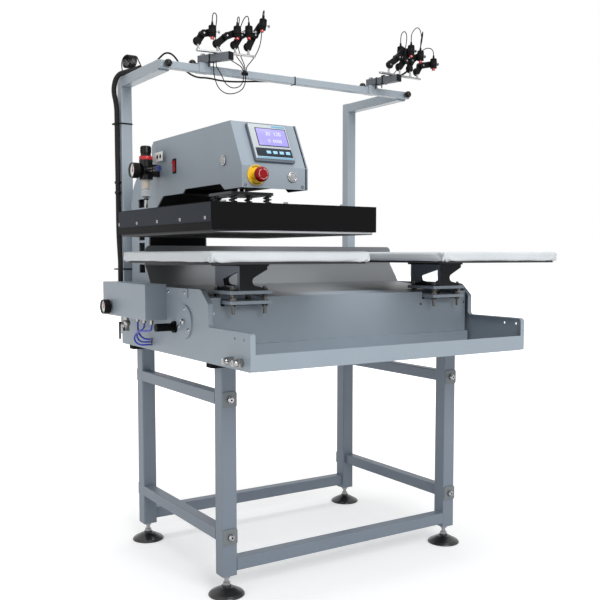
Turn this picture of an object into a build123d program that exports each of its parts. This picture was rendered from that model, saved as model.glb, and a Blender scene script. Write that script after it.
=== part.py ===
from build123d import *

import math
import os

# Twin-station pneumatic heat press on a four-legged stand.
# One press head on a carriage slides along X between two fixed lower platens.
# X runs along the front, -Y faces the operator, Z is up and the floor is Z = 0.
# All sizes are in millimetres.

# Driving sizes of the stand
LEG = 50
LEG_WALL = 2.5
STAND_INSET = 54
STAND_FRONT_Y = -196
STAND_REAR_Y = 471
LEG_BOTTOM = 64
STAND_TOP = 709
LOW_RAIL_Z = 97
LOW_RAIL = 40
SIDE_RAIL = 38
SIDE_RAIL_WALL = 2
SIDE_RAIL_Z = (188, 611)
RAIL_BOLT_R = 6
BOLT_PLATE = 48
BOLT_PLATE_T = 4
HOLE_CLEAR = 0.3

# Driving sizes of the levelling feet
FOOT_R = 52
FOOT_RIM_H = 9
FOOT_CONE_H = 24
FOOT_HUB_R = 15
FOOT_HUB_H = 31
STUD_R = 7

# Driving sizes of the chassis
PAD_H = 20
PAD_REACH = 80
PAD_INSET = 24
END_ROOM = 20
PLATE_DEPTH = 16
SHEET = 3
CHASSIS_FRONT_Y = -467
CHASSIS_REAR_Y = 472
LOW_TOP_Z = 835
STEP_Y = -216
STEP_Z = 903
SHOULDER_Y = -168
CHASSIS_TOP_Z = 944
LIP_TOP_Z = 777
STRIP_PROUD = 15
SIDE_HOLE_Y = -406
SIDE_HOLE_SPACING = 52
SIDE_HOLE_Z = 815
SIDE_HOLE_R = 4
PANEL_Y = -200
PANEL_TOP_Z = 919
GUARD_LOW_Y = 199
GUARD_Y = 250
GUARD_BEND_Z = 1011
GUARD_TOP_Z = 1078
GUARD_CORNER_R = 18

# Driving sizes of the traverse
PITCH = 796
SHAFT_R = 20
SHAFT_Y = -59
SHAFT_Z = 841
FLANGE_R = 52
FLANGE_T = 5
FLANGE_CAP_R = 9
RAIL_Y = 350
RAIL_W = 23
RAIL_H = 18
BED_W = 60
BED_T = 10
CARRIAGE_T = 16
CARRIAGE_Z = 772
CARRIAGE_FRONT_Y = -110
CARRIAGE_REAR_Y = 425
BEARING_L = 70
BEARING_W = 76
RUN_CLEAR = 0.05
AIR_TUBE_R = 22.5
ACTUATOR_Y = 145
ACTUATOR_Z = 828
ACTUATOR_HEAD = 60
ACTUATOR_HEAD_L = 30
STOP_Y = 15
STOP_Z = 820
STOP_R = 12.5
STOP_OUT = 66
STOP_GAP = 0.3

# Driving sizes of the lower platens and what carries them
PLATEN_W = 516
PLATEN_D = 616
PLATEN_Y = -185
PAD_BOTTOM_Z = 1027
PAD_TOP_Z = 1057
BOARD_INSET = 12
BOARD_Z = 1021
PLATE_W = 144
PLATE_D = 140
PLATE_FRONT_Y = -252
PLATE_T = 10
LOWER_PLATE_Z = 900
UPPER_PLATE_Z = 930
LEVEL_BOLT_R = 5
LEVEL_BOLT_INSET = 18
RIGHT_MOUNT_OFF = -12
PILLAR_W = 120
PILLAR_FRONT_Y = -192
PILLAR_D = 78
BRACKET_FRONT_Y = -252
BRACKET_REAR_Y = -96
BRACKET_T = 8

# Driving sizes of the press head
HEAD_W = 216
HEAD_SKIN = 4
HEAD_FRONT_Y = -388
HEAD_APEX_Y = -323
HEAD_TOP_Z = 1420
HEAD_BREAK_Z = 1292
HEAD_BOTTOM_Z = 1231
HEAD_LEDGE_Z = 1249
COLUMN_FRONT_Y = 262
COLUMN_REAR_Y = 417
SHOULDER_R = 130
SHOULDER_Z = 1206
HEAD_REAR_Y = 230
COVER_T = 2
CYLINDER_Y = -186
CYLINDER_SIDE = 96
CYLINDER_BORE_R = 40
CYLINDER_H = 134
CYLINDER_FOOT = 16
CYLINDER_CAP = 14
PISTON_H = 18
PIN_R = 6
ROD_R = 12.5
PRESS_GAP = 0.5
PRESS_PLATE_W = 150
PRESS_PLATE_T = 8
FLOAT_SPAN = 58
SPRING_R = 11
SPRING_WIRE = 4
SPRING_TURNS = 4
SLOT_Y = (300, 351)
SLOT_H = 29
SLOT_PITCH = 37.2
SLOT_TOP_Z = 1237
SLOT_COUNT = 7

# Driving sizes of the heat platen
HEAT_W = 524
HEAT_FRONT_Y = -511
HEAT_D = 651
CASING_BOTTOM_Z = 1110
CASING_TOP_Z = 1182
CASING_SHEET = 2
HEATER_BOTTOM_Z = 1103
HEATER_INSET = 6
HEATER_LAP = 12
HEATER_EDGE = 2
SIDE_COVER_T = 1.5
SIDE_COVER_Z = (1131, 1180)
TOP_BOLT_H = 9
SPACER_R = 12
SPACER_INSET = 70

# Driving sizes of the controls
LCD_W = 129
LCD_H = 124
LCD_T = 9
ESTOP_OFF = -63
SWITCH_Z = 1266
BEZEL_T = 3
ESTOP_RING_R = 28
ESTOP_CAP_R = 21
ESTOP_CAP_H = 20
ESTOP_NECK = 22
ESTOP_STEM_R = 8
ESTOP_TRAVEL = 4
BUTTON_OFF = 55
BUTTON_R = 11
BEZEL_R = 14.5
BUTTON_TRAVEL = 2
SWITCH_DEPTH = 8
SIDE_BUTTON_Y = -283
SIDE_BUTTON_Z = 1313
ROCKER_Y = 49
ROCKER_Z = 1326
ROCKER_W = 19
ROCKER_H = 40
ROCKER_WALL = 2
ROCKER_PIN_R = 2
ROCKER_TILT = 8

# Driving sizes of the air line pieces
FRL_Y = 178
FRL_OFF = 43
FRL_Z = 1319
FRL_RING_H = 12
FRL_KNOB_H = 33.7
FRL_BOWL_R = 17
FRL_BOWL_H = 62
FRL_KNOB_R = 18
FRL_BODY = 46
GAUGE_R = 25
GAUGE_T = 22
GAUGE_NEEDLE = 1.2
BOX_DEPTH = 73
BOX_FRONT_Y = 79
BOX_REAR_Y = 460
BOX_BOTTOM_Z = 838
BOX_TOP_Z = 953
BOX_GAUGE_Y = 390
BOX_GAUGE_Z = 868
VALVE_OFF = 46
VALVE_Y = 312
VALVE_DROP = 24
VALVE_BALL_R = 14
LEVER_L = 54
COUPLER_Y = (-364, -420)
COUPLER_Z = 752
COUPLER_R = 9
COUPLER_L = 30
TUBE_R = 3
GROMMET_T = 6
HINGE_PLATE_Y = (-83, 73)
HINGE_PLATE_Z = (914, 943)

# Driving sizes of the overhead frame
MAST = 40
MAST_WALL = 2
MAST_INSET = 10
MAST_BOTTOM_Z = 760
ARM_H = 35
ARM_BOTTOM_Z = 1641
ARM_FRONT_Y = 151
BEAM = 25
BEAM_WALL = 2
BALL_R = 13
LASER_ARM = 25
LASER_ARM_Z = 1690
BAR_L = 210
BAR_W = 14
BAR_T = 5
POST_R = 3.5
LINK_R = 11
LINK_T = 8
BARREL_R = 10
BARREL_L = 36
SLEEVE_R = 13
SLEEVE_H = 14
LASER_CABLE_R = 1.6
TRUNK_R = 9
BEAM_CABLE_R = 3
PIVOT_R = 5
PIVOT_HEAD_H = 6
COIL_R = 2
COIL_TURNS = 6
COIL_PITCH = 4.6
COIL_HALF_L = 40
COIL_HALF_H = 22

CARRIAGE_W = HEAD_W
CHASSIS_HALF_W = (PITCH + HEAD_W) / 2 + END_ROOM
STAND_HALF_W = CHASSIS_HALF_W - STAND_INSET
MAST_OUT_X = CHASSIS_HALF_W - MAST_INSET
LEFT_X = -PITCH / 2
RIGHT_X = PITCH / 2
MOUNT_X = (LEFT_X, RIGHT_X + RIGHT_MOUNT_OFF)
CARRIAGE_TOP_Z = CARRIAGE_Z + CARRIAGE_T
CHASSIS_BOTTOM_Z = STAND_TOP + PAD_H
FLOOR_Z = CHASSIS_BOTTOM_Z + SHEET
INNER_HALF_W = CHASSIS_HALF_W - PLATE_DEPTH
SKIN_X = CHASSIS_HALF_W - SHEET
HEAD_LEFT_X = LEFT_X - HEAD_W / 2
HEAD_RIGHT_X = LEFT_X + HEAD_W / 2
ARM_MID_Z = ARM_BOTTOM_Z + ARM_H / 2
BEAM_Y = ARM_FRONT_Y - BEAM / 2
MAST_MID_X = MAST_OUT_X - MAST / 2
ESTOP_X = LEFT_X + ESTOP_OFF
BUTTON_X = LEFT_X + BUTTON_OFF
FRL_X = HEAD_LEFT_X - FRL_OFF
BOX_X = -CHASSIS_HALF_W - BOX_DEPTH
VALVE_X = -CHASSIS_HALF_W - VALVE_OFF
PRESS_STROKE = HEATER_BOTTOM_Z - PAD_TOP_Z - PRESS_GAP

nodes = {}


def box(x0, x1, y0, y1, z0, z1):
    """A block between two corners."""
    centre = Pos((x0 + x1) / 2, (y0 + y1) / 2, (z0 + z1) / 2)
    return centre * Box(abs(x1 - x0), abs(y1 - y0), abs(z1 - z0))


def disc_x(x0, x1, y, z, r):
    """A round bar along X."""
    return Pos((x0 + x1) / 2, y, z) * Rot(0, 90, 0) * Cylinder(r, abs(x1 - x0))


def disc_y(x, y0, y1, z, r):
    """A round bar along Y."""
    return Pos(x, (y0 + y1) / 2, z) * Rot(90, 0, 0) * Cylinder(r, abs(y1 - y0))


def disc_z(x, y, z0, z1, r):
    """A round bar along Z."""
    return Pos(x, y, (z0 + z1) / 2) * Cylinder(r, abs(z1 - z0))


def hex_z(x, y, z0, z1, across):
    """A hexagon nut or head along Z."""
    face = Pos(x, y, z0) * RegularPolygon(across / 2, 6, major_radius=False)
    return extrude(face, z1 - z0)


def outline(points, radii):
    """A closed face in a local plane, each corner with its own radius."""
    return make_face(FilletPolyline(*points, radius=radii, close=True))


def slab_x(face, x0, x1):
    """A face drawn in Y and Z, made a slab from x0 to x1."""
    plane = Plane(origin=(x0, 0, 0), x_dir=(0, 1, 0), z_dir=(1, 0, 0))
    return extrude(plane * face, x1 - x0)


def slab_y(face, y0, y1):
    """A face drawn in X and Z, made a slab from y0 to y1."""
    plane = Plane(origin=(0, y1, 0), x_dir=(1, 0, 0), z_dir=(0, -1, 0))
    return extrude(plane * face, y1 - y0)


def cord_tube(points, r, name):
    """A cord of straight runs joined by tangent arcs, with its radii printed."""
    pts = [Vector(*p) for p in points]
    radii = []
    for a, b, c in zip(pts, pts[1:], pts[2:]):
        turn = math.radians((b - a).get_angle(c - b))
        radii.append(0.45 * min((b - a).length, (c - b).length) / math.tan(turn / 2))
    path = FilletPolyline(*pts, radius=radii)
    start = Plane(origin=path @ 0, z_dir=path % 0)
    tube = sweep(start * Circle(r), path=path)
    share = tube.volume / (math.pi * r * r * path.length)
    print(name, "radii", [round(v, 1) for v in radii], "length", round(path.length), "fill", round(share, 3))
    return tube


# Stand


def stand_leg(x0, y0):
    """One leg with a closed top and a bottom plate for its foot's stud."""
    leg = box(x0, x0 + LEG, y0, y0 + LEG, LEG_BOTTOM, STAND_TOP)
    leg = fillet(leg.edges().filter_by(Axis.Z), 4)
    leg -= box(x0 + LEG_WALL, x0 + LEG - LEG_WALL, y0 + LEG_WALL, y0 + LEG - LEG_WALL,
               LEG_BOTTOM + 6, STAND_TOP - 4)
    cx, cy = x0 + LEG / 2, y0 + LEG / 2
    leg -= disc_z(cx, cy, LEG_BOTTOM - 1, LEG_BOTTOM + 7, STUD_R + HOLE_CLEAR)
    for z in SIDE_RAIL_Z:
        leg -= disc_y(cx, y0 - 1, y0 + LEG + 1, z, RAIL_BOLT_R + HOLE_CLEAR)
    return leg


def leg_frame(y0):
    """Two legs and the low cross rail welded between them."""
    legs = [stand_leg(x0, y0) for x0 in (-STAND_HALF_W, STAND_HALF_W - LEG)]
    in_x = STAND_HALF_W - LEG
    z0, z1 = LOW_RAIL_Z - LOW_RAIL / 2, LOW_RAIL_Z + LOW_RAIL / 2
    inset = (LEG - LOW_RAIL) / 2
    front, rear = (y0, y0 + LOW_RAIL) if y0 < 0 else (y0 + 2 * inset, y0 + LEG)
    rail = box(-in_x, in_x, front, rear, z0, z1)
    rail = fillet(rail.edges().filter_by(Axis.X), 3)
    rail -= box(-in_x - 1, in_x + 1, front + LEG_WALL, rear - LEG_WALL, z0 + LEG_WALL, z1 - LEG_WALL)
    return legs + [rail]


nodes["front_leg_frame"] = leg_frame(STAND_FRONT_Y)
nodes["rear_leg_frame"] = leg_frame(STAND_REAR_Y - LEG)


def side_rail(x0, z):
    """A side rail with an end plate at each leg."""
    y0, y1 = STAND_FRONT_Y + LEG, STAND_REAR_Y - LEG
    half = SIDE_RAIL / 2
    rail = box(x0, x0 + SIDE_RAIL, y0, y1, z - half, z + half)
    rail = fillet(rail.edges().filter_by(Axis.Y), 3)
    rail -= box(x0 + SIDE_RAIL_WALL, x0 + SIDE_RAIL - SIDE_RAIL_WALL, y0 + 8, y1 - 8,
                z - half + SIDE_RAIL_WALL, z + half - SIDE_RAIL_WALL)
    bolt_x = x0 + LEG / 2 if x0 < 0 else x0 + SIDE_RAIL - LEG / 2
    for a, b in ((y0 - 1, y0 + 9), (y1 - 9, y1 + 1)):
        rail -= disc_y(bolt_x, a, b, z, RAIL_BOLT_R + HOLE_CLEAR)
    return rail


def rail_bolt(x, y_face, outward, z):
    """A square washer and a hexagon bolt that pulls a rail against its leg."""
    half = BOLT_PLATE / 2
    face = y_face + outward * BOLT_PLATE_T
    low, high = sorted((y_face, face))
    plate = box(x - half, x + half, low, high, z - half, z + half)
    plate = fillet(plate.edges().filter_by(Axis.Y), 6)
    plate -= disc_y(x, low - 1, high + 1, z, RAIL_BOLT_R + HOLE_CLEAR)
    head_end = face + outward * 8
    low, high = sorted((face, head_end))
    head = slab_y(Pos(x, z) * RegularPolygon(9.5, 6, major_radius=False), low, high)
    tip = y_face - outward * (LEG + 6)
    low, high = sorted((face, tip))
    return [plate, head + disc_y(x, low, high, z, RAIL_BOLT_R)]


rails = []
for side in (-1, 1):
    rail_x = -STAND_HALF_W if side < 0 else STAND_HALF_W - SIDE_RAIL
    bolt_x = side * (STAND_HALF_W - LEG / 2)
    for rail_z in SIDE_RAIL_Z:
        rails.append(side_rail(rail_x, rail_z))
        rails += rail_bolt(bolt_x, STAND_FRONT_Y, -1, rail_z)
        rails += rail_bolt(bolt_x, STAND_REAR_Y, 1, rail_z)
nodes["side_rails"] = rails


def levelling_foot(x, y):
    """A cone pad and the stud with its two nuts."""
    section = outline([(0, 0), (FOOT_R, 0), (FOOT_R, FOOT_RIM_H), (FOOT_HUB_R + 8, FOOT_CONE_H),
                       (FOOT_HUB_R, FOOT_CONE_H + 2), (FOOT_HUB_R, FOOT_HUB_H), (0, FOOT_HUB_H)],
                      [0, 2, 3, 2, 1, 2, 0])
    pad = Pos(x, y, 0) * revolve(Plane.XZ * section, Axis.Z)
    stud = disc_z(x, y, FOOT_HUB_H, LEG_BOTTOM + 40, STUD_R)
    stud += hex_z(x, y, FOOT_HUB_H, FOOT_HUB_H + 8, 22)
    stud += hex_z(x, y, LEG_BOTTOM - 10, LEG_BOTTOM, 22)
    return [pad, stud]


feet = []
for fx in (-STAND_HALF_W + LEG / 2, STAND_HALF_W - LEG / 2):
    for fy in (STAND_FRONT_Y + LEG / 2, STAND_REAR_Y - LEG / 2):
        feet += levelling_foot(fx, fy)
nodes["levelling_feet"] = feet

pads = []
for side in (-1, 1):
    pad_out = CHASSIS_HALF_W - PAD_INSET
    pad_x = sorted((side * pad_out, side * (pad_out - PAD_REACH)))
    for pad_y in (STAND_FRONT_Y, STAND_REAR_Y - LEG):
        pad = box(pad_x[0], pad_x[1], pad_y, pad_y + LEG, STAND_TOP, CHASSIS_BOTTOM_Z)
        pads.append(fillet(pad.edges().filter_by(Axis.Z), 10))
nodes["chassis_pads"] = pads

# Chassis


def side_plate(side):
    """A pan-shaped side plate whose rim turns inwards."""
    points = [(CHASSIS_FRONT_Y, CHASSIS_BOTTOM_Z), (CHASSIS_FRONT_Y, LOW_TOP_Z), (STEP_Y, LOW_TOP_Z),
              (STEP_Y, STEP_Z), (SHOULDER_Y, CHASSIS_TOP_Z), (CHASSIS_REAR_Y, CHASSIS_TOP_Z),
              (CHASSIS_REAR_Y, CHASSIS_BOTTOM_Z)]
    face = outline(points, [6, 12, 12, 8, 24, 5, 5])
    inner = offset(face, -SHEET)
    x_out, x_in = side * CHASSIS_HALF_W, side * INNER_HALF_W
    plate = slab_x(face, min(x_out, x_in), max(x_out, x_in))
    skin = side * SKIN_X
    plate -= slab_x(inner, min(skin, x_in), max(skin, x_in))
    low, high = sorted((side * (CHASSIS_HALF_W + 1), side * (SKIN_X - 1)))
    plate -= disc_x(low, high, STOP_Y, STOP_Z, STOP_R + HOLE_CLEAR)
    for y in (SIDE_HOLE_Y - SIDE_HOLE_SPACING / 2, SIDE_HOLE_Y + SIDE_HOLE_SPACING / 2):
        plate -= disc_x(low, high, y, SIDE_HOLE_Z, SIDE_HOLE_R)
    return plate


def shaft_flange(side):
    """The round cover over the guide shaft's end, on the outside of a side plate."""
    x_in, x_out = side * CHASSIS_HALF_W, side * (CHASSIS_HALF_W + FLANGE_T)
    cap = side * (CHASSIS_HALF_W + 2 * FLANGE_T)
    disc = disc_x(min(x_in, x_out), max(x_in, x_out), SHAFT_Y, SHAFT_Z, FLANGE_R)
    return disc + disc_x(min(x_out, cap), max(x_out, cap), SHAFT_Y, SHAFT_Z, FLANGE_CAP_R)


def hinge_plate(side):
    """A small screwed plate on the outside of a side plate, under its top edge."""
    x_in, x_out = side * CHASSIS_HALF_W, side * (CHASSIS_HALF_W + SHEET)
    plate = box(x_in, x_out, *HINGE_PLATE_Y, *HINGE_PLATE_Z)
    return fillet(plate.edges().filter_by(Axis.X), 4)


nodes["side_plate_left"] = [side_plate(-1), shaft_flange(-1), hinge_plate(-1)]
nodes["side_plate_right"] = [side_plate(1), shaft_flange(1), hinge_plate(1)]

tray_w = INNER_HALF_W
tray = box(-tray_w, tray_w, CHASSIS_FRONT_Y, CHASSIS_REAR_Y - SHEET, CHASSIS_BOTTOM_Z, FLOOR_Z)
tray += box(-tray_w, tray_w, CHASSIS_FRONT_Y, CHASSIS_FRONT_Y + SHEET, FLOOR_Z, LIP_TOP_Z)
strip_y = PANEL_Y - STRIP_PROUD
tray += box(-tray_w, tray_w, strip_y, strip_y + SHEET, FLOOR_Z, LIP_TOP_Z)
tray += box(-tray_w, tray_w, strip_y + SHEET, PANEL_Y + SHEET, LIP_TOP_Z - SHEET, LIP_TOP_Z)
nodes["front_tray"] = [tray]

NOTCH_GAP = 6
notch_half = PLATE_W / 2 + NOTCH_GAP
panel = box(-tray_w, tray_w, PANEL_Y, PANEL_Y + SHEET, LIP_TOP_Z, PANEL_TOP_Z)
for cx in MOUNT_X:
    panel -= box(cx - notch_half, cx + notch_half, PANEL_Y - 1, PANEL_Y + SHEET + 1,
                 LOWER_PLATE_Z - NOTCH_GAP, PANEL_TOP_Z + 1)
nodes["front_panel"] = [panel]

deck_face = make_face(Polyline((PANEL_Y + SHEET, PANEL_TOP_Z - SHEET), (PANEL_Y + SHEET, PANEL_TOP_Z),
                               (GUARD_LOW_Y, CHASSIS_TOP_Z), (GUARD_Y, GUARD_BEND_Z),
                               (GUARD_Y, GUARD_TOP_Z - 30), (GUARD_Y + SHEET, GUARD_TOP_Z - 30),
                               (GUARD_Y + SHEET, GUARD_BEND_Z - 1), (GUARD_LOW_Y + 2, CHASSIS_TOP_Z - SHEET),
                               close=True))
deck = slab_x(deck_face, -tray_w, tray_w)
for cx in MOUNT_X:
    deck -= box(cx - notch_half, cx + notch_half, PANEL_Y, PLATE_FRONT_Y + PLATE_D + NOTCH_GAP,
                PANEL_TOP_Z - 20, CHASSIS_TOP_Z + 5)
slope_face = make_face(Polyline((GUARD_LOW_Y, CHASSIS_TOP_Z), (GUARD_Y, GUARD_BEND_Z),
                                (GUARD_Y + SHEET, GUARD_BEND_Z - 1), (GUARD_LOW_Y + 4, CHASSIS_TOP_Z),
                                close=True))
deck += slab_x(slope_face, -CHASSIS_HALF_W, CHASSIS_HALF_W)
flange = outline([(-CHASSIS_HALF_W, GUARD_BEND_Z - 1), (-CHASSIS_HALF_W, GUARD_TOP_Z),
                  (CHASSIS_HALF_W, GUARD_TOP_Z), (CHASSIS_HALF_W, GUARD_BEND_Z - 1)],
                 [0, GUARD_CORNER_R, GUARD_CORNER_R, 0])
deck += slab_y(flange, GUARD_Y, GUARD_Y + SHEET)
nodes["deck_guard"] = [deck]

wall_y = CHASSIS_REAR_Y - SHEET
back = box(-tray_w, tray_w, wall_y, CHASSIS_REAR_Y, CHASSIS_BOTTOM_Z, CHASSIS_TOP_Z)
back += box(-tray_w, tray_w, wall_y - 20, wall_y, CHASSIS_TOP_Z - SHEET, CHASSIS_TOP_Z)
nodes["rear_wall"] = [back]

# Traverse


def rails_and_shaft():
    """The front guide shaft between the side plates, and the rear rail on its bed."""
    solids = [disc_x(-SKIN_X, SKIN_X, SHAFT_Y, SHAFT_Z, SHAFT_R)]
    length = INNER_HALF_W - 3
    bed_top = FLOOR_Z + BED_T
    solids.append(box(-length, length, RAIL_Y - BED_W / 2, RAIL_Y + BED_W / 2, FLOOR_Z, bed_top))
    rail = box(-length, length, RAIL_Y - RAIL_W / 2, RAIL_Y + RAIL_W / 2, bed_top, bed_top + RAIL_H)
    solids.append(chamfer(rail.edges().filter_by(Axis.X).sort_by(Axis.Z)[-2:], 2))
    return solids


nodes["guide_rails"] = rails_and_shaft()

cyl = [disc_x(-SKIN_X + ACTUATOR_HEAD_L, SKIN_X - ACTUATOR_HEAD_L, ACTUATOR_Y, ACTUATOR_Z, AIR_TUBE_R)]
for side in (-1, 1):
    low, high = sorted((side * SKIN_X, side * (SKIN_X - ACTUATOR_HEAD_L)))
    half = ACTUATOR_HEAD / 2
    end = box(low, high, ACTUATOR_Y - half, ACTUATOR_Y + half, ACTUATOR_Z - half, ACTUATOR_Z + half)
    cyl.append(fillet(end.edges().filter_by(Axis.X), 5))
nodes["traverse_cylinder"] = cyl

carriage_x0 = LEFT_X - CARRIAGE_W / 2
carriage_x1 = LEFT_X + CARRIAGE_W / 2
stop_in = -carriage_x0 + STOP_GAP


def stop(side):
    """A shock absorber through the side plate, its tip just off the carriage."""
    parts = disc_x(side * (CHASSIS_HALF_W + STOP_OUT), side * (stop_in + 6), STOP_Y, STOP_Z, STOP_R)
    parts += disc_x(side * (stop_in + 6), side * stop_in, STOP_Y, STOP_Z, 5)
    low, high = sorted((side * CHASSIS_HALF_W, side * (CHASSIS_HALF_W + 8)))
    return parts + disc_x(low, high, STOP_Y, STOP_Z, STOP_R + 6)


nodes["shock_absorbers"] = [stop(-1), stop(1)]


def carriage():
    """The carriage plate, its bearing blocks, the air slider and the stop lugs."""
    solids = []
    plate = box(carriage_x0, carriage_x1, CARRIAGE_FRONT_Y, CARRIAGE_REAR_Y, CARRIAGE_Z, CARRIAGE_TOP_Z)
    solids.append(fillet(plate.edges().filter_by(Axis.Z), 8))
    top = SHAFT_Z + SHAFT_R + 24
    for x0 in (carriage_x0 + 4, carriage_x1 - 4 - BEARING_L):
        block = box(x0, x0 + BEARING_L, SHAFT_Y - BEARING_W / 2, SHAFT_Y + BEARING_W / 2,
                    CARRIAGE_TOP_Z, top)
        block = fillet(block.edges().filter_by(Axis.X).sort_by(Axis.Z)[-2:], 22)
        block -= disc_x(x0 - 1, x0 + BEARING_L + 1, SHAFT_Y, SHAFT_Z, SHAFT_R + RUN_CLEAR)
        solids.append(block)
        shoe = box(x0, x0 + BEARING_L, RAIL_Y - 28, RAIL_Y + 28, FLOOR_Z + BED_T + 6, CARRIAGE_Z)
        half = RAIL_W / 2 + RUN_CLEAR
        shoe -= box(x0 - 1, x0 + BEARING_L + 1, RAIL_Y - half, RAIL_Y + half, FLOOR_Z + BED_T,
                    FLOOR_Z + BED_T + RAIL_H + RUN_CLEAR)
        solids.append(shoe)
    slider = box(LEFT_X - 50, LEFT_X + 50, ACTUATOR_Y - 36, ACTUATOR_Y + 36, CARRIAGE_TOP_Z, ACTUATOR_Z + 38)
    slider = fillet(slider.edges().filter_by(Axis.X).sort_by(Axis.Z)[-2:], 10)
    slider -= disc_x(LEFT_X - 51, LEFT_X + 51, ACTUATOR_Y, ACTUATOR_Z, AIR_TUBE_R + RUN_CLEAR)
    solids.append(slider)
    for x0 in (carriage_x0, carriage_x1 - 14):
        solids.append(box(x0, x0 + 14, STOP_Y - 16, STOP_Y + 16, CARRIAGE_TOP_Z, STOP_Z + 18))
    return solids


nodes["carriage"] = carriage()

# Lower platens


def platen_mount(cx):
    """The pillar in the chassis, two plates and the levelling bolts between them."""
    x0, x1 = cx - PLATE_W / 2, cx + PLATE_W / 2
    y1 = PLATE_FRONT_Y + PLATE_D
    pillar_y1 = PILLAR_FRONT_Y + PILLAR_D
    pillar = box(cx - PILLAR_W / 2, cx + PILLAR_W / 2, PILLAR_FRONT_Y, pillar_y1, FLOOR_Z, LOWER_PLATE_Z)
    pillar -= box(cx - PILLAR_W / 2 + 4, cx + PILLAR_W / 2 - 4, PILLAR_FRONT_Y + 4, pillar_y1 - 4,
                  FLOOR_Z + 4, LOWER_PLATE_Z - 8)
    lower = box(x0, x1, PLATE_FRONT_Y, y1, LOWER_PLATE_Z, LOWER_PLATE_Z + PLATE_T)
    upper = box(x0, x1, PLATE_FRONT_Y, y1, UPPER_PLATE_Z, UPPER_PLATE_Z + PLATE_T)
    lower = fillet(lower.edges().filter_by(Axis.Z), 4)
    upper = fillet(upper.edges().filter_by(Axis.Z), 4)
    bolts = []
    for bx in (x0 + LEVEL_BOLT_INSET, x1 - LEVEL_BOLT_INSET):
        for by in (PLATE_FRONT_Y + LEVEL_BOLT_INSET, y1 - LEVEL_BOLT_INSET):
            front = by < PILLAR_FRONT_Y
            low = LOWER_PLATE_Z - 30 if front else LOWER_PLATE_Z + PLATE_T
            bolt = disc_z(bx, by, low, UPPER_PLATE_Z + PLATE_T + 14, LEVEL_BOLT_R)
            bolt += hex_z(bx, by, LOWER_PLATE_Z + PLATE_T, LOWER_PLATE_Z + PLATE_T + 7, 17)
            bolt += hex_z(bx, by, UPPER_PLATE_Z - 7, UPPER_PLATE_Z, 17)
            bolt += hex_z(bx, by, UPPER_PLATE_Z + PLATE_T, UPPER_PLATE_Z + PLATE_T + 8, 17)
            upper -= disc_z(bx, by, UPPER_PLATE_Z - 1, UPPER_PLATE_Z + PLATE_T + 1, LEVEL_BOLT_R + HOLE_CLEAR)
            if front:
                bolt += hex_z(bx, by, LOWER_PLATE_Z - 9, LOWER_PLATE_Z, 17)
                lower -= disc_z(bx, by, LOWER_PLATE_Z - 1, LOWER_PLATE_Z + PLATE_T + 1,
                                LEVEL_BOLT_R + HOLE_CLEAR)
            bolts.append(bolt)
    return [pillar, lower, upper] + bolts


nodes["platen_mounts"] = platen_mount(MOUNT_X[0]) + platen_mount(MOUNT_X[1])


def platen_bracket(cx):
    """A bracket of one side web with a window, two notched cross plates and a top plate."""
    z0, z1 = UPPER_PLATE_Z + PLATE_T, BOARD_Z - BRACKET_T
    x_web, x_low, x_top = cx - 42, cx + 40, cx + 53
    web = outline([(BRACKET_FRONT_Y, z0), (BRACKET_REAR_Y, z0), (BRACKET_REAR_Y, z1), (BRACKET_FRONT_Y, z1)],
                  [0, 0, 0, 0])
    window = outline([(BRACKET_FRONT_Y + 14, z0 + 14), (BRACKET_REAR_Y - 58, z0 + 14),
                      (BRACKET_REAR_Y - 52, z0 + 34), (BRACKET_FRONT_Y + 14, z1 - 16)], [3, 4, 4, 3])
    bracket = slab_x(web - window, x_web, x_web + BRACKET_T)
    cross = outline([(x_web, z0), (x_low, z0), (x_low, z0 + 8), (cx + 6, z0 + 16), (cx - 2, z0 + 34),
                     (x_top, z1 - 10), (x_top, z1), (x_web, z1)], [0, 3, 3, 12, 12, 3, 0, 0])
    for y in (BRACKET_FRONT_Y, BRACKET_REAR_Y - BRACKET_T):
        bracket += slab_y(cross, y, y + BRACKET_T)
    top = box(cx - 54, cx + 58, BRACKET_FRONT_Y - 6, BRACKET_REAR_Y + 6, z1, BOARD_Z)
    return bracket + fillet(top.edges().filter_by(Axis.Z), 5)


nodes["platen_brackets"] = [platen_bracket(cx) for cx in MOUNT_X]


def lower_platen(cx):
    """A board with a covered pad on it."""
    hw, hd = PLATEN_W / 2, PLATEN_D / 2
    board = box(cx - hw + BOARD_INSET, cx + hw - BOARD_INSET, PLATEN_Y - hd + BOARD_INSET,
                PLATEN_Y + hd - BOARD_INSET, BOARD_Z, PAD_BOTTOM_Z)
    pad = box(cx - hw, cx + hw, PLATEN_Y - hd, PLATEN_Y + hd, PAD_BOTTOM_Z, PAD_TOP_Z)
    pad = fillet(pad.edges().filter_by(Axis.Z), 10)
    pad = fillet(pad.edges().group_by(Axis.Z)[-1], 4)
    return [board, pad]


nodes["left_platen"] = lower_platen(LEFT_X)
nodes["right_platen"] = lower_platen(RIGHT_X)

# Press head and column


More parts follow.
